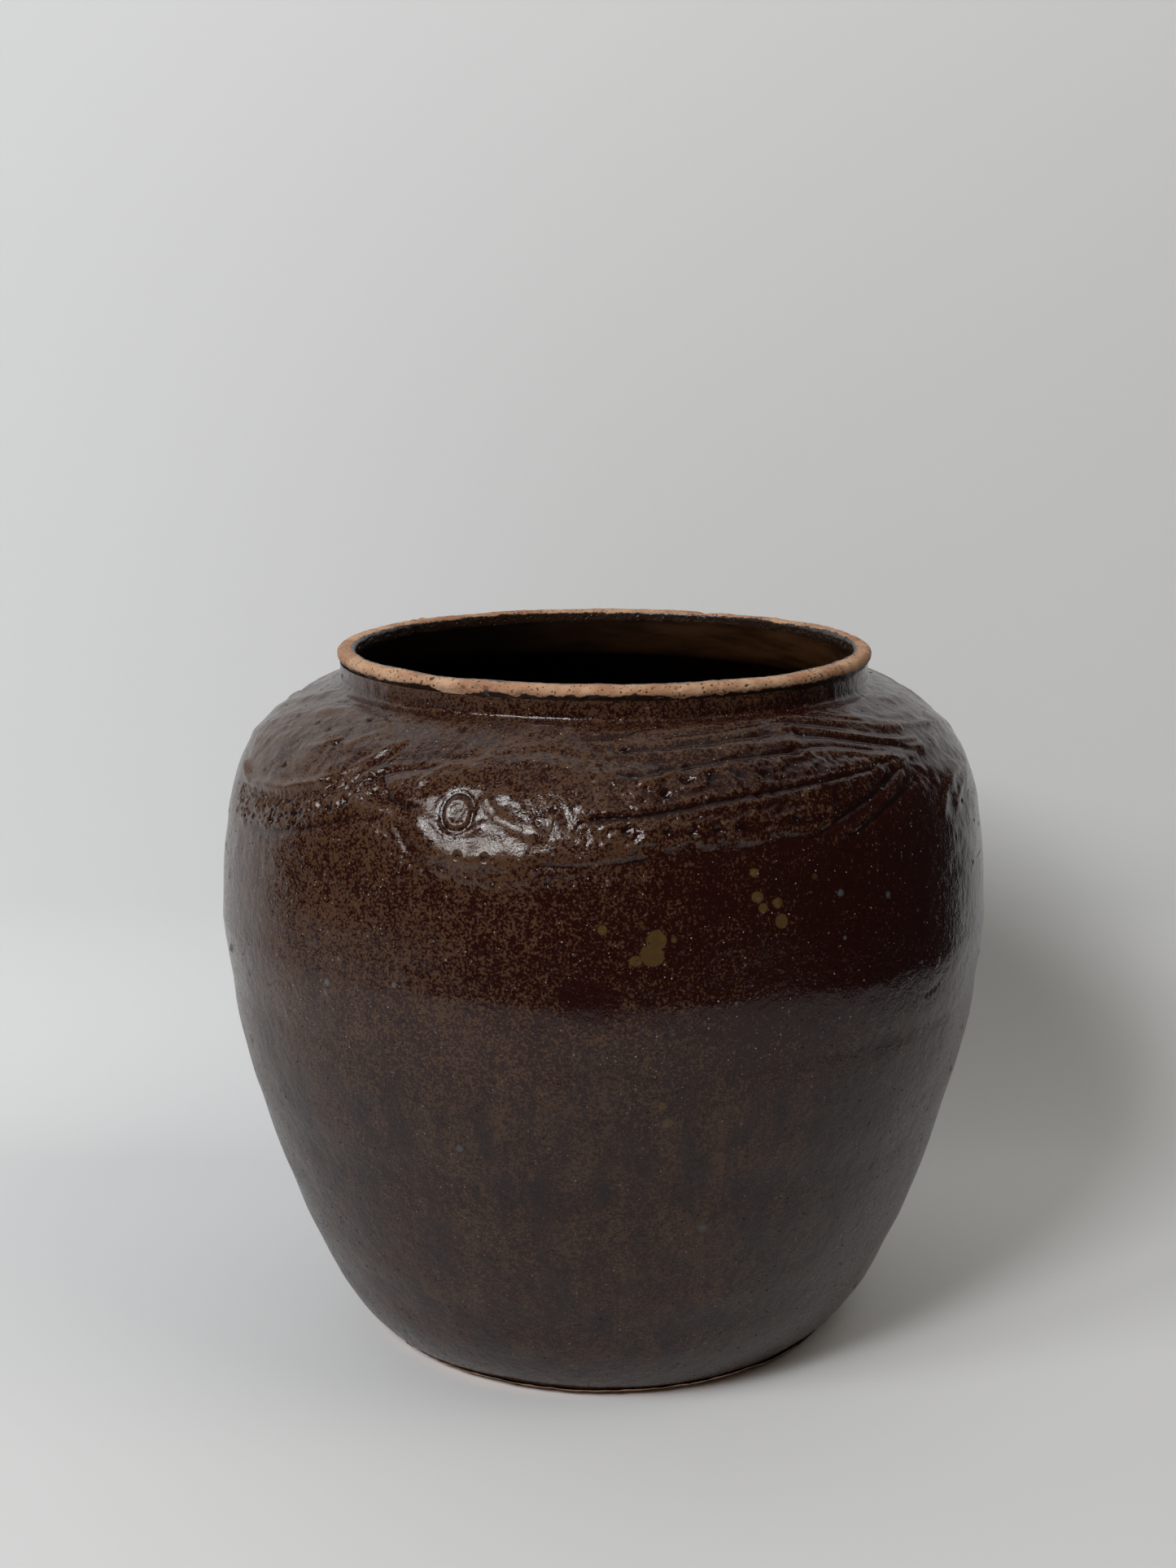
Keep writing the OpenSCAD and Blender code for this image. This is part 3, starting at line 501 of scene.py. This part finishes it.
skirt_runs = np.concatenate([[FOOT_RUN - 0.2], np.linspace(FOOT_RUN, SKIRT_RUN, 135)])
skirt_line = at_runs(coat_line, skirt_runs)
skirt_lift = body_bumps(wide_turns, skirt_runs)
skirt_lift[0] -= 0.35
skirt_place = revolve(skirt_line, wide_turns, skirt_lift)

relief_runs = np.concatenate([
    np.linspace(SKIRT_RUN, NECK_RUN - HOLLOW - 1, 121),
    np.linspace(NECK_RUN - HOLLOW - 1, COAT_RUN, 17)[1:],
])
relief_line = at_runs(coat_line, relief_runs)
half_turns = np.degrees(np.concatenate([fine_turns[1080:] - 2 * math.pi, fine_turns[:361]]))
motif = Field(np.degrees(np.arange(-480, 480) / 1440 * 2 * math.pi), relief_runs - NECK_RUN + DRAWN_NECK, relief_line[:, 0])
carve_relief(motif)
fade_top = np.clip((NECK_RUN - 1.5 - relief_runs) / 4, 0, 1)[:, None]
fade_low = np.clip((relief_runs - SKIRT_RUN) / 5, 0, 1)[:, None]
relief_height = np.zeros((len(relief_runs), 1440))
relief_detail = np.zeros((len(relief_runs), 1440))
relief_raised = np.zeros((len(relief_runs), 1440))
for start in (-480, 240):
    cols = (np.arange(960) + start) % 1440
    relief_height[:, cols] += motif.height * fade_top * fade_low
    relief_detail[:, cols] += motif.detail * fade_top * fade_low
    relief_raised[:, cols] += motif.raised * fade_top * fade_low
relief_noise = body_bumps(fine_turns, relief_runs)
relief_noise += (0.03 + 0.045 * relief_raised) * read_noise(waves_fine, fine_turns, relief_runs)
relief_noise += (0.03 + 0.04 * relief_raised) * read_noise(peel, fine_turns, relief_runs)
relief_noise += 0.12 * relief_raised * read_noise(lumps, fine_turns, relief_runs)
relief_tan_and_shade = tan_and_shade_share(fine_turns, relief_runs) + 0.08 * relief_raised
relief_tan_and_shade += 0.45 * np.clip(relief_detail, -1, 0.4)
relief_lift = relief_height + relief_noise
relief_place = revolve(relief_line, fine_turns, relief_lift)
outer_place_normal = normals_of(relief_place, True)

front_cols = np.arange(-360, 361) % 1440
rear_cols = np.arange(360, 1081) % 1440
front_nodes = ["front_carp_body", "front_carp_eye", "front_dorsal_fin", "front_belly_fin", "front_tail_fin",
               "front_fin_streamers", "front_lotus_leaf", "front_wave_band"]
rear_nodes = [n.replace("front", "rear") for n in front_nodes]
front_skin = mesh_piece("front_relief_skin", relief_place[:, front_cols], False,
                        front_nodes + ["upper_wall", "outer_glaze"], facts={"detail": relief_detail[:, front_cols], "tan_and_shade": relief_tan_and_shade[:, front_cols]},
                        normal=outer_place_normal[:, front_cols])
rear_skin = mesh_piece("rear_relief_skin", relief_place[:, rear_cols], False,
                       rear_nodes + ["upper_wall", "outer_glaze"], facts={"detail": relief_detail[:, rear_cols], "tan_and_shade": relief_tan_and_shade[:, rear_cols]},
                       normal=outer_place_normal[:, rear_cols])
skirt_normal = normals_of(skirt_place, True)
skirt_normal[-1] = outer_place_normal[0, ::2]
skirt = mesh_piece("lower_glaze_skin", skirt_place, True, ["lower_wall", "outer_glaze"],
                   facts={"tan_and_shade": tan_and_shade_share(wide_turns, skirt_runs),
                          "matt": np.clip((158 - skirt_place[..., 2]) / 42, 0, 1)}, normal=skirt_normal)

# Bare clay lip, from under the glaze on the collar, over the top, into the throat
LIP_OUT = 2.4
LIP_IN = 1.8
lip_line = np.vstack([
    [(NECK_R - 0.25, COLLAR_TOP - 2.4), (NECK_R + 0.1, COLLAR_TOP - 0.6), (NECK_R + 0.7, COLLAR_TOP + 0.6)],
    arc((MOUTH_R - LIP_OUT, JAR_H - LIP_OUT), LIP_OUT, -22, 90, 12),
    [(MOUTH_R - LIP_OUT - 0.9, JAR_H), (MOUTH_R - LIP_OUT - 1.8, JAR_H)],
    arc((THROAT_R + LIP_IN, JAR_H - LIP_IN), LIP_IN, 90, 180, 9),
    [(THROAT_R, JAR_H - 3), (THROAT_R, JAR_H - 4.2), (THROAT_R + 0.3, JAR_H - 5.5)],
])
lip_runs = run_along(lip_line)
lip_line = at_runs(lip_line, np.linspace(0, lip_runs[-1], 58))
lip_noise = np.random.default_rng(23)


def ring_noise(rows, across, along):
    """Seeded noise on the lip's grid, periodic round the mouth."""
    raw = np.fft.rfft2(lip_noise.standard_normal((rows * 2, 1440)))
    down = np.fft.fftfreq(rows * 2)[:, None]
    side = np.fft.rfftfreq(1440)[None, :]
    raw *= np.exp(-((down * along) ** 2 + (side * across) ** 2) * 2 * math.pi)
    out = np.fft.irfft2(raw, s=(rows * 2, 1440))[:rows]
    return out / out.std()


lip_lift = 0.14 * ring_noise(58, 30, 40) + 0.06 * ring_noise(58, 5, 6) + 0.035 * ring_noise(58, 2.2, 2.2)
lip_pits = np.maximum(ring_noise(58, 2.6, 2.6) - 2.0, 0)
lip_lift -= 0.30 * lip_pits
lip_field = Field(np.degrees(np.arange(1440) / 1440 * 2 * math.pi) - 180, np.linspace(0, lip_runs[-1], 58),
                  np.full(58, 97.0))
for turn, run, depth, radius in [
    (154.3, 9.5, 1.5, 2.0), (152, 8, 0.8, 1.6), (-132, 7.5, -0.7, 1.5), (-129, 8, -0.4, 1.2), (-26, 6.5, 0.5, 1.6),
    (-24, 5.5, 0.6, 1.4),
    (-29, 5, 0.5, 1.3), (14, 7, 0.4, 1.0), (47, 8.5, 0.5, 1.1), (-63, 9, 0.5, 1.0), (104, 9, 0.6, 1.3),
    (-118, 8, 0.5, 1.2), (-150, 10, 0.6, 1.1), (76, 7, 0.4, 1.2),
]:
    lip_field.dot(turn, run, -depth, radius)
chips = np.roll(lip_field.height, 720, 1)
lip_lift += chips
edge_fade = np.clip(np.minimum(np.arange(58), np.arange(58)[::-1]) / 5, 0, 1)[:, None]
lip_lift *= edge_fade
lip_place = revolve(lip_line, fine_turns, lip_lift)
wander = 0.6 * ring_noise(58, 24, 400)[:1] + 0.5 * ring_noise(58, 6, 400)[:1] + 0.4 * ring_noise(58, 2, 400)[:1]
coat_high = COLLAR_TOP + 1.5 + 0.45 * wander - 2.2 * np.exp(-((np.degrees(fine_turns) - 328) / 4.5) ** 2)
coat_inner = 12.3 - 1.7 * np.cos(fine_turns) + 0.3 * np.roll(wander, 500, 1)
lip_run = np.linspace(0, lip_runs[-1], 58)[:, None]
lip_coat = np.where(lip_run < 8, coat_high - lip_place[..., 2], lip_run - coat_inner)
lip = mesh_piece("lip_clay", lip_place, True, ["neck_ring"],
                 facts={"pit": np.clip(lip_pits - chips, 0, 2), "coat": lip_coat},
                 normal=normals_of(lip_place, True))

# Glazed inside: throat, wall with the marks of throwing, the coil over the seam, rounded corner and floor
wall_line = body_line + right_of(body_line) * -(WALL_T + 0.5)
keep = (wall_line[:, 1] > BASE_T + 12) & (wall_line[:, 1] < SHOULDER_H - 8)
inner_wall = wall_line[keep]
throat_top = np.array([(THROAT_R + 0.2, JAR_H - 3.8), (THROAT_R + 0.1, JAR_H - 6), (THROAT_R, SHOULDER_H - 1)])
inner_line = np.vstack([
    throat_top,
    bend(throat_top[-1], (THROAT_R, inner_wall[-1, 1] + 4.5), inner_wall[-1], 16)[1:],
    inner_wall[::-1][1:],
    bend(inner_wall[0], (inner_wall[0, 0] - 3, BASE_T + 0.5), (inner_wall[0, 0] - 22, BASE_T + 0.5), 16)[1:],
    [(40, BASE_T + 0.5), (4, BASE_T + 0.5)],
])
inner_runs = np.linspace(0, run_along(inner_line)[-1], 134)
inner_line = at_runs(inner_line, inner_runs)
seam_swell = 1.8 * np.exp(-((inner_line[:, 1] - 146) / 6) ** 2)[:, None]
spiral = 0.22 * np.sin(inner_runs[:, None] / 7.5 * 2 * math.pi + wide_turns)
inner_fade = np.clip(np.minimum(inner_runs / 14, (inner_runs[-1] - inner_runs) / 20), 0, 1)[:, None]
inner_lift = (seam_swell + spiral + 0.5 * body_bumps(wide_turns, 290 - inner_runs * 0.8)) * inner_fade
inner_place = revolve(inner_line, wide_turns, inner_lift)
# Painted shade: the inside's colour fact runs from near-black on the left to brown on the right, for the shade and
# light inside the mouth
inner = mesh_piece("inner_glaze_skin", inner_place, True,
                   ["inner_glaze", "belly_seam_coil", "base_seam_coil"],
                   facts={"tan_and_shade": np.clip((inner_place[..., 0] + 45) / 120, 0, 1)},
                   normal=normals_of(inner_place, True))

# Clay of the foot: bare edge, standing ring, and the shallow hollow under the slab
foot_line = np.vstack([
    [(0.5, 1.5), (40, 1.5), (FOOT_R - 18, 1.5), (FOOT_R - 15.5, 1.3), (FOOT_R - 13.5, 0.3), (FOOT_R - 12, 0)],
    [(FOOT_R - 6, 0), (FOOT_R - 1.5, 0)],
    bend((FOOT_R - 1.5, 0), (FOOT_R, 0), (FOOT_R + 1.1, 0.7), 6)[1:],
    [(FOOT_R + 3.6, 1.7), (FOOT_R + 5.2, 2.5), (FOOT_R + 6.2, 3.4)],
])
foot_runs = np.concatenate([np.linspace(0, 66, 24)[:-1], np.linspace(66, run_along(foot_line)[-1], 60)])
foot_line = at_runs(foot_line, foot_runs)
foot_noise = 0.14 * ring_noise(len(foot_runs), 14, 8) + 0.08 * ring_noise(len(foot_runs), 4, 3)
standing = (foot_line[:, 1] < 0.6)[:, None]
foot_lift = np.where(standing, np.minimum(foot_noise, 0) - 0.02, foot_noise * 0.8)[:, ::2]
foot_lift[:3] = 0
foot_place = revolve(foot_line, wide_turns, foot_lift)
foot_place[..., 2] = np.maximum(foot_place[..., 2], 0)
foot = mesh_piece("foot_clay", foot_place, True, ["base_disc"],
                  facts={"pit": np.zeros(foot_place.shape[:2]), "coat": np.full(foot_place.shape[:2], -2.0)},
                  normal=normals_of(foot_place, True))


class Nodes:
    """Short hand for building a node tree."""

    def __init__(self, name):
        self.material = bpy.data.materials.new(name)
        self.material.use_nodes = True
        self.tree = self.material.node_tree
        self.shader = self.tree.nodes["Principled BSDF"]
        self.place = self.add("ShaderNodeTexCoord").outputs["Object"]

    def add(self, kind, **settings):
        node = self.tree.nodes.new(kind)
        for key, value in settings.items():
            setattr(node, key, value)
        return node

    def put(self, socket, value):
        if isinstance(value, bpy.types.NodeSocket):
            self.tree.links.new(value, socket)
        else:
            socket.default_value = value

    def math(self, operation, a, b=0.0, clamp=False):
        node = self.add("ShaderNodeMath", operation=operation, use_clamp=clamp)
        self.put(node.inputs[0], a)
        self.put(node.inputs[1], b)
        return node.outputs[0]

    def ramp(self, value, low, high, to_low=0.0, to_high=1.0):
        node = self.add("ShaderNodeMapRange", interpolation_type="SMOOTHSTEP")
        for socket, v in zip(node.inputs, (value, low, high, to_low, to_high)):
            self.put(socket, v)
        return node.outputs[0]

    def noise(self, size, detail=3.0, rough=0.5, stretch=None, offset=0.0):
        """Noise whose lumps are about so large in millimetres."""
        at = self.place
        if stretch or offset:
            shift = self.add("ShaderNodeMapping")
            self.put(shift.inputs["Vector"], at)
            shift.inputs["Scale"].default_value = stretch or (1, 1, 1)
            shift.inputs["Location"].default_value = (offset, offset, offset)
            at = shift.outputs[0]
        node = self.add("ShaderNodeTexNoise")
        self.put(node.inputs["Vector"], at)
        node.inputs["Scale"].default_value = 500 / size
        node.inputs["Detail"].default_value = detail
        node.inputs["Roughness"].default_value = rough
        return node.outputs[0]

    def dots(self, cell, share, radius):
        """Round specks of about a radius, in a share of cells that are so large, all in millimetres."""
        node = self.add("ShaderNodeTexVoronoi")
        self.put(node.inputs["Vector"], self.place)
        node.inputs["Scale"].default_value = 1000 / cell
        chosen = self.add("ShaderNodeSeparateColor")
        self.put(chosen.inputs[0], node.outputs["Color"])
        pick = self.math("LESS_THAN", chosen.outputs[0], share)
        size = self.math("MULTIPLY_ADD", chosen.outputs[1], radius / cell)
        self.put(size.node.inputs[2], radius / cell * 0.5)
        near = self.math("DIVIDE", node.outputs["Distance"], size)
        return self.math("MULTIPLY", self.ramp(near, 1.0, 0.6), pick)

    def mix(self, share, a, b, blend="MIX"):
        node = self.add("ShaderNodeMix", data_type="RGBA", blend_type=blend)
        self.put(node.inputs["Factor"], share)
        for socket, v in ((node.inputs[6], a), (node.inputs[7], b)):
            self.put(socket, (*v, 1.0) if isinstance(v, tuple) else v)
        return node.outputs[2]

    def fact(self, name):
        return self.add("ShaderNodeAttribute", attribute_name=name).outputs["Fac"]

    def bump(self, height, depth, before=None):
        """Bump whose full height is so deep in millimetres."""
        node = self.add("ShaderNodeBump")
        node.inputs["Strength"].default_value = 1.0
        node.inputs["Distance"].default_value = depth * MM
        self.put(node.inputs["Height"], height)
        if before:
            self.put(node.inputs["Normal"], before)
        return node.outputs[0]

    def dress(self, *objects):
        for ob in objects:
            ob.data.materials.clear()
            ob.data.materials.append(self.material)


# Linear colours
OXBLOOD = (0.0160, 0.0032, 0.0023)
TAN = (0.071, 0.0335, 0.0168)
NIGHT = (0.0075, 0.0029, 0.0022)
OCHRE = (0.090, 0.052, 0.0170)
SLATE = (0.10, 0.12, 0.13)
# Pale colour of the painted highlight specks
PAINTED_GLINT = (0.50, 0.47, 0.43)
DULL = (0.040, 0.0235, 0.0165)
DULL_DARK = (0.0120, 0.0065, 0.0055)
PLUM = (0.0120, 0.0058, 0.0066)
# Near-black inside glaze, also used as painted shade on the left of the inside
DARK_GLAZE_AND_SHADE = (0.0035, 0.0022, 0.0016)

# Blots of glaze, listed one by one: turn, height and radius in millimetres
ochre_blots = [
    (19.8, 206.3, 1.6), (20.1, 198.4, 1.9), (20.8, 194.8, 1.5), (22.9, 195.9, 1.9), (23.5, 189.9, 2.3),
    (6.3, 186.4, 3.5), (5.8, 181.8, 3.8), (3.7, 180, 1.9), (8.6, 186.5, 1.1), (-0.6, 190.2, 1.5), (8.2, 123, 1.8),
    (7.4, 129.1, 1.5), (205, 178, 3.6), (211, 171, 2.2), (148, 150, 3.0),
]
dark_blots = [(-1.1, 165.7, 6.0), (-4, 168, 4.0), (160, 160, 8), (96, 150, 6)]
slate_blots = [
    (13.6, 228.8, 1.2), (14.6, 80.9, 1.3), (-40.9, 158.7, 1.0), (-40.4, 162.8, 1.1), (-28.9, 166.7, 0.9),
    (33, 196.1, 1.1), (41.6, 192.4, 1.1), (-21, 110, 1.2), (190, 130, 1.3),
]
crack_blots = [(50.4, 152.3, 1.1), (51.5, 152.9, 1.5), (52.6, 153.4, 1.2), (53.6, 154.3, 1.0)]


def blots(n, spots, edge):
    """How much any of the blots covers a place, their rims made uneven."""
    uneven = n.math("MULTIPLY", n.noise(1.8, 2, 0.5, offset=0.53), 1.6)
    whole = None
    for turn, high, radius in spots:
        reach = float(np.interp(high, body_line[:, 1], body_line[:, 0]))
        a = math.radians(turn)
        far = n.add("ShaderNodeVectorMath", operation="DISTANCE")
        n.put(far.inputs[0], n.place)
        far.inputs[1].default_value = (reach * math.sin(a) * MM, -reach * math.cos(a) * MM, high * MM)
        rim = n.math("ADD", n.math("MULTIPLY", far.outputs["Value"], 1 / MM), uneven)
        here = n.ramp(rim, radius + 0.8 + edge, radius + 0.8 - edge)
        whole = here if whole is None else n.math("MAXIMUM", whole, here)
    return whole


def outside_glaze(name, relief):
    n = Nodes(name)
    grains = n.noise(0.46, 2, 0.6)
    share = n.fact("tan_and_shade")
    parts = [
        (grains, 2.4), (n.noise(1.05, 2, 0.6, offset=0.37), 1.1), (n.noise(4, 3, 0.6, offset=0.81), 0.4),
        (n.noise(5, 3, 0.55, stretch=(1, 1, 0.3), offset=0.11), 0.5),
    ]
    for part, weight in parts:
        share = n.math("ADD", share, n.math("MULTIPLY", n.math("SUBTRACT", part, 0.5), weight))
    share = n.math("SUBTRACT", share, n.math("MULTIPLY", blots(n, dark_blots, 2.5), 0.35))
    tan = n.ramp(share, 0.16, 0.66)
    colour = n.mix(tan, OXBLOOD, TAN)
    if relief:
        colour = n.mix(n.ramp(n.fact("detail"), -0.12, -0.85), colour, NIGHT)
    ochre = n.math("MAXIMUM", blots(n, ochre_blots, 0.35), n.math("MULTIPLY", n.dots(9.5, 0.25, 1.0), 0.6))
    colour = n.mix(n.math("MULTIPLY", ochre, n.ramp(share, 0.1, 0.7, 0.75, 1.0)), colour, OCHRE)
    specks = n.math("MAXIMUM", n.dots(6, 0.22, 0.6), blots(n, slate_blots, 0.5))
    colour = n.mix(n.math("MULTIPLY", specks, 0.55), colour, SLATE)
    holes = n.math("MAXIMUM", n.dots(3.1, 0.5, 0.44), blots(n, crack_blots, 0.3))
    colour = n.mix(n.math("MULTIPLY", holes, 0.8), colour, NIGHT)
    # Painted highlights: tiny pale specks put in the base colour for glints of the window on the glaze
    painted_glints = n.dots(2.2, 0.5, 0.22)
    colour = n.mix(n.math("MULTIPLY", painted_glints, 0.65), colour, PAINTED_GLINT)
    rough = n.ramp(tan, 0, 1, 0.13, 0.27)
    if not relief:
        matt = n.fact("matt")
        cloudy = n.ramp(n.noise(2.6, 4, 0.7, stretch=(1, 1, 0.5), offset=0.61), 0.38, 0.62)
        dull = n.mix(cloudy, DULL_DARK, DULL)
        colour = n.mix(n.math("MULTIPLY", matt, 0.36), colour, dull)
        streaks = n.ramp(n.noise(5.5, 4, 0.68, stretch=(1, 1, 0.35), offset=0.29), 0.47, 0.62)
        colour = n.mix(n.math("MULTIPLY", streaks, n.ramp(matt, 0, 1, 0.15, 0.62)), colour, PLUM)
        rough = n.math("ADD", rough, n.math("MULTIPLY", matt, 0.12))
    n.put(n.shader.inputs["Base Color"], colour)
    n.put(n.shader.inputs["Roughness"], n.math("ADD", rough, n.math("MULTIPLY", holes, 0.5)))
    peeled = n.bump(n.noise(6, 2, 0.5, offset=0.43), 0.26)
    peeled = n.bump(n.noise(1.6, 2, 0.5, offset=0.7), 0.24, peeled)
    peeled = n.bump(n.math("SUBTRACT", grains, n.math("MULTIPLY", holes, 3.0)), 0.13, peeled)
    n.put(n.shader.inputs["Normal"], peeled)
    n.shader.inputs["Specular IOR Level"].default_value = 0.37 if relief else 0.32
    return n


outside_glaze("relief_glaze_coat", True).dress(front_skin, rear_skin)
outside_glaze("brown_glaze_coat", False).dress(skirt)

inside = Nodes("inner_glaze_coat")
streaks = inside.noise(4, 4, 0.6, stretch=(0.25, 0.25, 1.4))
# Painted shade: near-black glaze towards the left inside, brown towards the right where light falls, broken by streaks
inside_tan_and_shade = inside.math("MULTIPLY", inside.fact("tan_and_shade"), inside.ramp(streaks, 0.3, 0.68, 0.25, 1.0))
inside_colour = inside.mix(inside_tan_and_shade, DARK_GLAZE_AND_SHADE, (0.036, 0.0145, 0.0052))
inside.put(inside.shader.inputs["Base Color"], inside_colour)
inside.put(inside.shader.inputs["Roughness"], inside.ramp(streaks, 0.3, 0.7, 0.18, 0.34))
inside.put(inside.shader.inputs["Normal"], inside.bump(inside.noise(3.4, 3, 0.5), 0.14))
inside.shader.inputs["Specular IOR Level"].default_value = 0.1
inside.dress(inner)

clay = Nodes("bare_stoneware")
clay_tone = clay.ramp(clay.noise(7, 4, 0.62), 0.35, 0.68)
clay_colour = clay.mix(clay_tone, (0.34, 0.163, 0.086), (0.55, 0.335, 0.200))
clay_colour = clay.mix(clay.ramp(clay.noise(0.9, 3, 0.7), 0.5, 0.72, 0, 0.5), clay_colour, (0.46, 0.33, 0.235))
clay_specks = clay.math("MAXIMUM", clay.dots(1.6, 0.8, 0.42), clay.dots(1.1, 0.7, 0.24))
clay_dark = clay.math("MAXIMUM", clay_specks, clay.ramp(clay.fact("pit"), 0.15, 0.8))
clay_colour = clay.mix(clay.math("MULTIPLY", clay_dark, 0.85), clay_colour, (0.030, 0.016, 0.011))
clay_coat = clay.math("MULTIPLY", clay.math("SUBTRACT", clay.noise(1.3, 3, 0.6, offset=0.21), 0.5), 1.5)
clay_coat = clay.ramp(clay.math("ADD", clay.fact("coat"), clay_coat), -0.3, 0.15)
clay_colour = clay.mix(clay_coat, clay_colour, (0.020, 0.0095, 0.0055))
clay.put(clay.shader.inputs["Base Color"], clay_colour)
clay.put(clay.shader.inputs["Roughness"], clay.ramp(clay_coat, 0, 1, 0.78, 0.3))
clay_bump = clay.bump(clay.noise(0.9, 4, 0.65), 0.16)
clay.put(clay.shader.inputs["Normal"], clay.bump(clay.math("MULTIPLY", clay_dark, -1.0), 0.25, clay_bump))
clay.dress(lip, foot)

# Paper sweep: a floor whose front edge lies before the jar, curving up into a wall behind it
SWEEP_FRONT = -0.54
SWEEP_TURN = 0.145
SWEEP_R = 0.10
SWEEP_TOP = 1.15
SWEEP_LEFT = -0.95
SWEEP_RIGHT = 0.50
t = np.radians(np.linspace(0, 88, 40))
profile = np.vstack([
    [(SWEEP_FRONT, 0), (SWEEP_TURN, 0)],
    np.stack([SWEEP_TURN + SWEEP_R * np.sin(t), SWEEP_R * (1 - np.cos(t))], 1)[1:],
])
profile = np.vstack([profile, [(profile[-1, 0] + 0.035 * (SWEEP_TOP - profile[-1, 1]), SWEEP_TOP)]])
sweep_points = [(x, y, z) for y, z in profile for x in (SWEEP_LEFT, SWEEP_RIGHT)]
sweep_faces = [(2 * k, 2 * k + 1, 2 * k + 3, 2 * k + 2) for k in range(len(profile) - 1)]
sweep_mesh = bpy.data.meshes.new("paper_sweep")
sweep_mesh.from_pydata(sweep_points, [], sweep_faces)
sweep_mesh.polygons.foreach_set("use_smooth", np.ones(len(sweep_faces), bool))
sweep = bpy.data.objects.new("paper_sweep", sweep_mesh)
bpy.context.scene.collection.objects.link(sweep)
paper = Nodes("white_paper")
paper.shader.inputs["Base Color"].default_value = (0.755, 0.765, 0.775, 1)
paper.shader.inputs["Roughness"].default_value = 0.75
paper.shader.inputs["Specular IOR Level"].default_value = 0.25
paper.put(paper.shader.inputs["Normal"], paper.bump(paper.noise(140, 2, 0.5), 1.2))
seen_through = paper.math("MULTIPLY", paper.add("ShaderNodeNewGeometry").outputs["Backfacing"],
                          paper.add("ShaderNodeLightPath").outputs["Is Camera Ray"])
one_sided = paper.add("ShaderNodeMixShader")
paper.put(one_sided.inputs[0], seen_through)
paper.put(one_sided.inputs[1], paper.shader.outputs[0])
paper.put(one_sided.inputs[2], paper.add("ShaderNodeBsdfTransparent").outputs[0])
paper.put(paper.tree.nodes["Material Output"].inputs["Surface"], one_sided.outputs[0])
paper.dress(sweep)


def lamp(name, place, target, size, power, colour):
    """A soft rectangular light in metres and watts, facing its target."""
    data = bpy.data.lights.new(name, "AREA")
    data.shape = "RECTANGLE"
    data.size, data.size_y = size
    data.energy = power
    data.color = colour
    ob = bpy.data.objects.new(name, data)
    bpy.context.scene.collection.objects.link(ob)
    ob.location = place
    aim = Vector(target) - Vector(place)
    ob.rotation_euler = aim.to_track_quat("-Z", "Y").to_euler()
    return ob


# Two panes of a window at the front left, given by their direction from the jar in degrees
WINDOW_FAR = 2.0


def pane(name, left, up, width, height, power):
    """A pane so far round from the camera to the left and so far up, in degrees."""
    a, e = math.radians(left), math.radians(up)
    aim = np.array([-math.sin(a) * math.cos(e), -math.cos(a) * math.cos(e), math.sin(e)])
    middle = np.array([0, 0, 0.15])
    return lamp(name, aim * WINDOW_FAR + middle, middle, (width, height), power, (1.0, 1.0, 1.0))


pane("window_near", 29, 37, 0.46, 0.54, 20.0)
pane("window_side", 51, 35, 0.46, 0.54, 10.0)
lamp("ceiling", (0.3, -0.3, 1.75), (0, 0, 0), (1.5, 1.5), 2.4, (1.0, 0.97, 0.92))
room_lamp = lamp("room_lamp", (0.75, -0.5, 1.3), (0.1, 0, 0), (0.7, 0.7), 3.5, (1.0, 0.93, 0.80))
room_lamp.visible_glossy = False

world = bpy.data.worlds.new("room")
bpy.context.scene.world = world
world.use_nodes = True
room_tree = world.node_tree
room_dark = room_tree.nodes["Background"]
room_dark.inputs["Color"].default_value = (0.030, 0.029, 0.028, 1)
room_pale = room_tree.nodes.new("ShaderNodeBackground")
room_pale.inputs["Color"].default_value = (0.56, 0.565, 0.57, 1)
room_mix = room_tree.nodes.new("ShaderNodeMixShader")
room_ray = room_tree.nodes.new("ShaderNodeLightPath")
room_tree.links.new(room_ray.outputs["Is Camera Ray"], room_mix.inputs[0])
room_tree.links.new(room_dark.outputs[0], room_mix.inputs[1])
room_tree.links.new(room_pale.outputs[0], room_mix.inputs[2])
room_tree.links.new(room_mix.outputs[0], room_tree.nodes["World Output"].inputs["Surface"])

camera_data = bpy.data.cameras.new("camera")
camera_data.sensor_width = SENSOR
camera_data.lens = FOCAL_PIXELS / PHOTO_LONG_SIDE * SENSOR
camera = bpy.data.objects.new("camera", camera_data)
bpy.context.scene.collection.objects.link(camera)
camera.location = [v * MM for v in CAMERA_PLACE]
camera.rotation_euler = (math.radians(90 - CAMERA_PITCH), 0, 0)
bpy.context.scene.camera = camera
bpy.context.scene.view_settings.view_transform = "Standard"
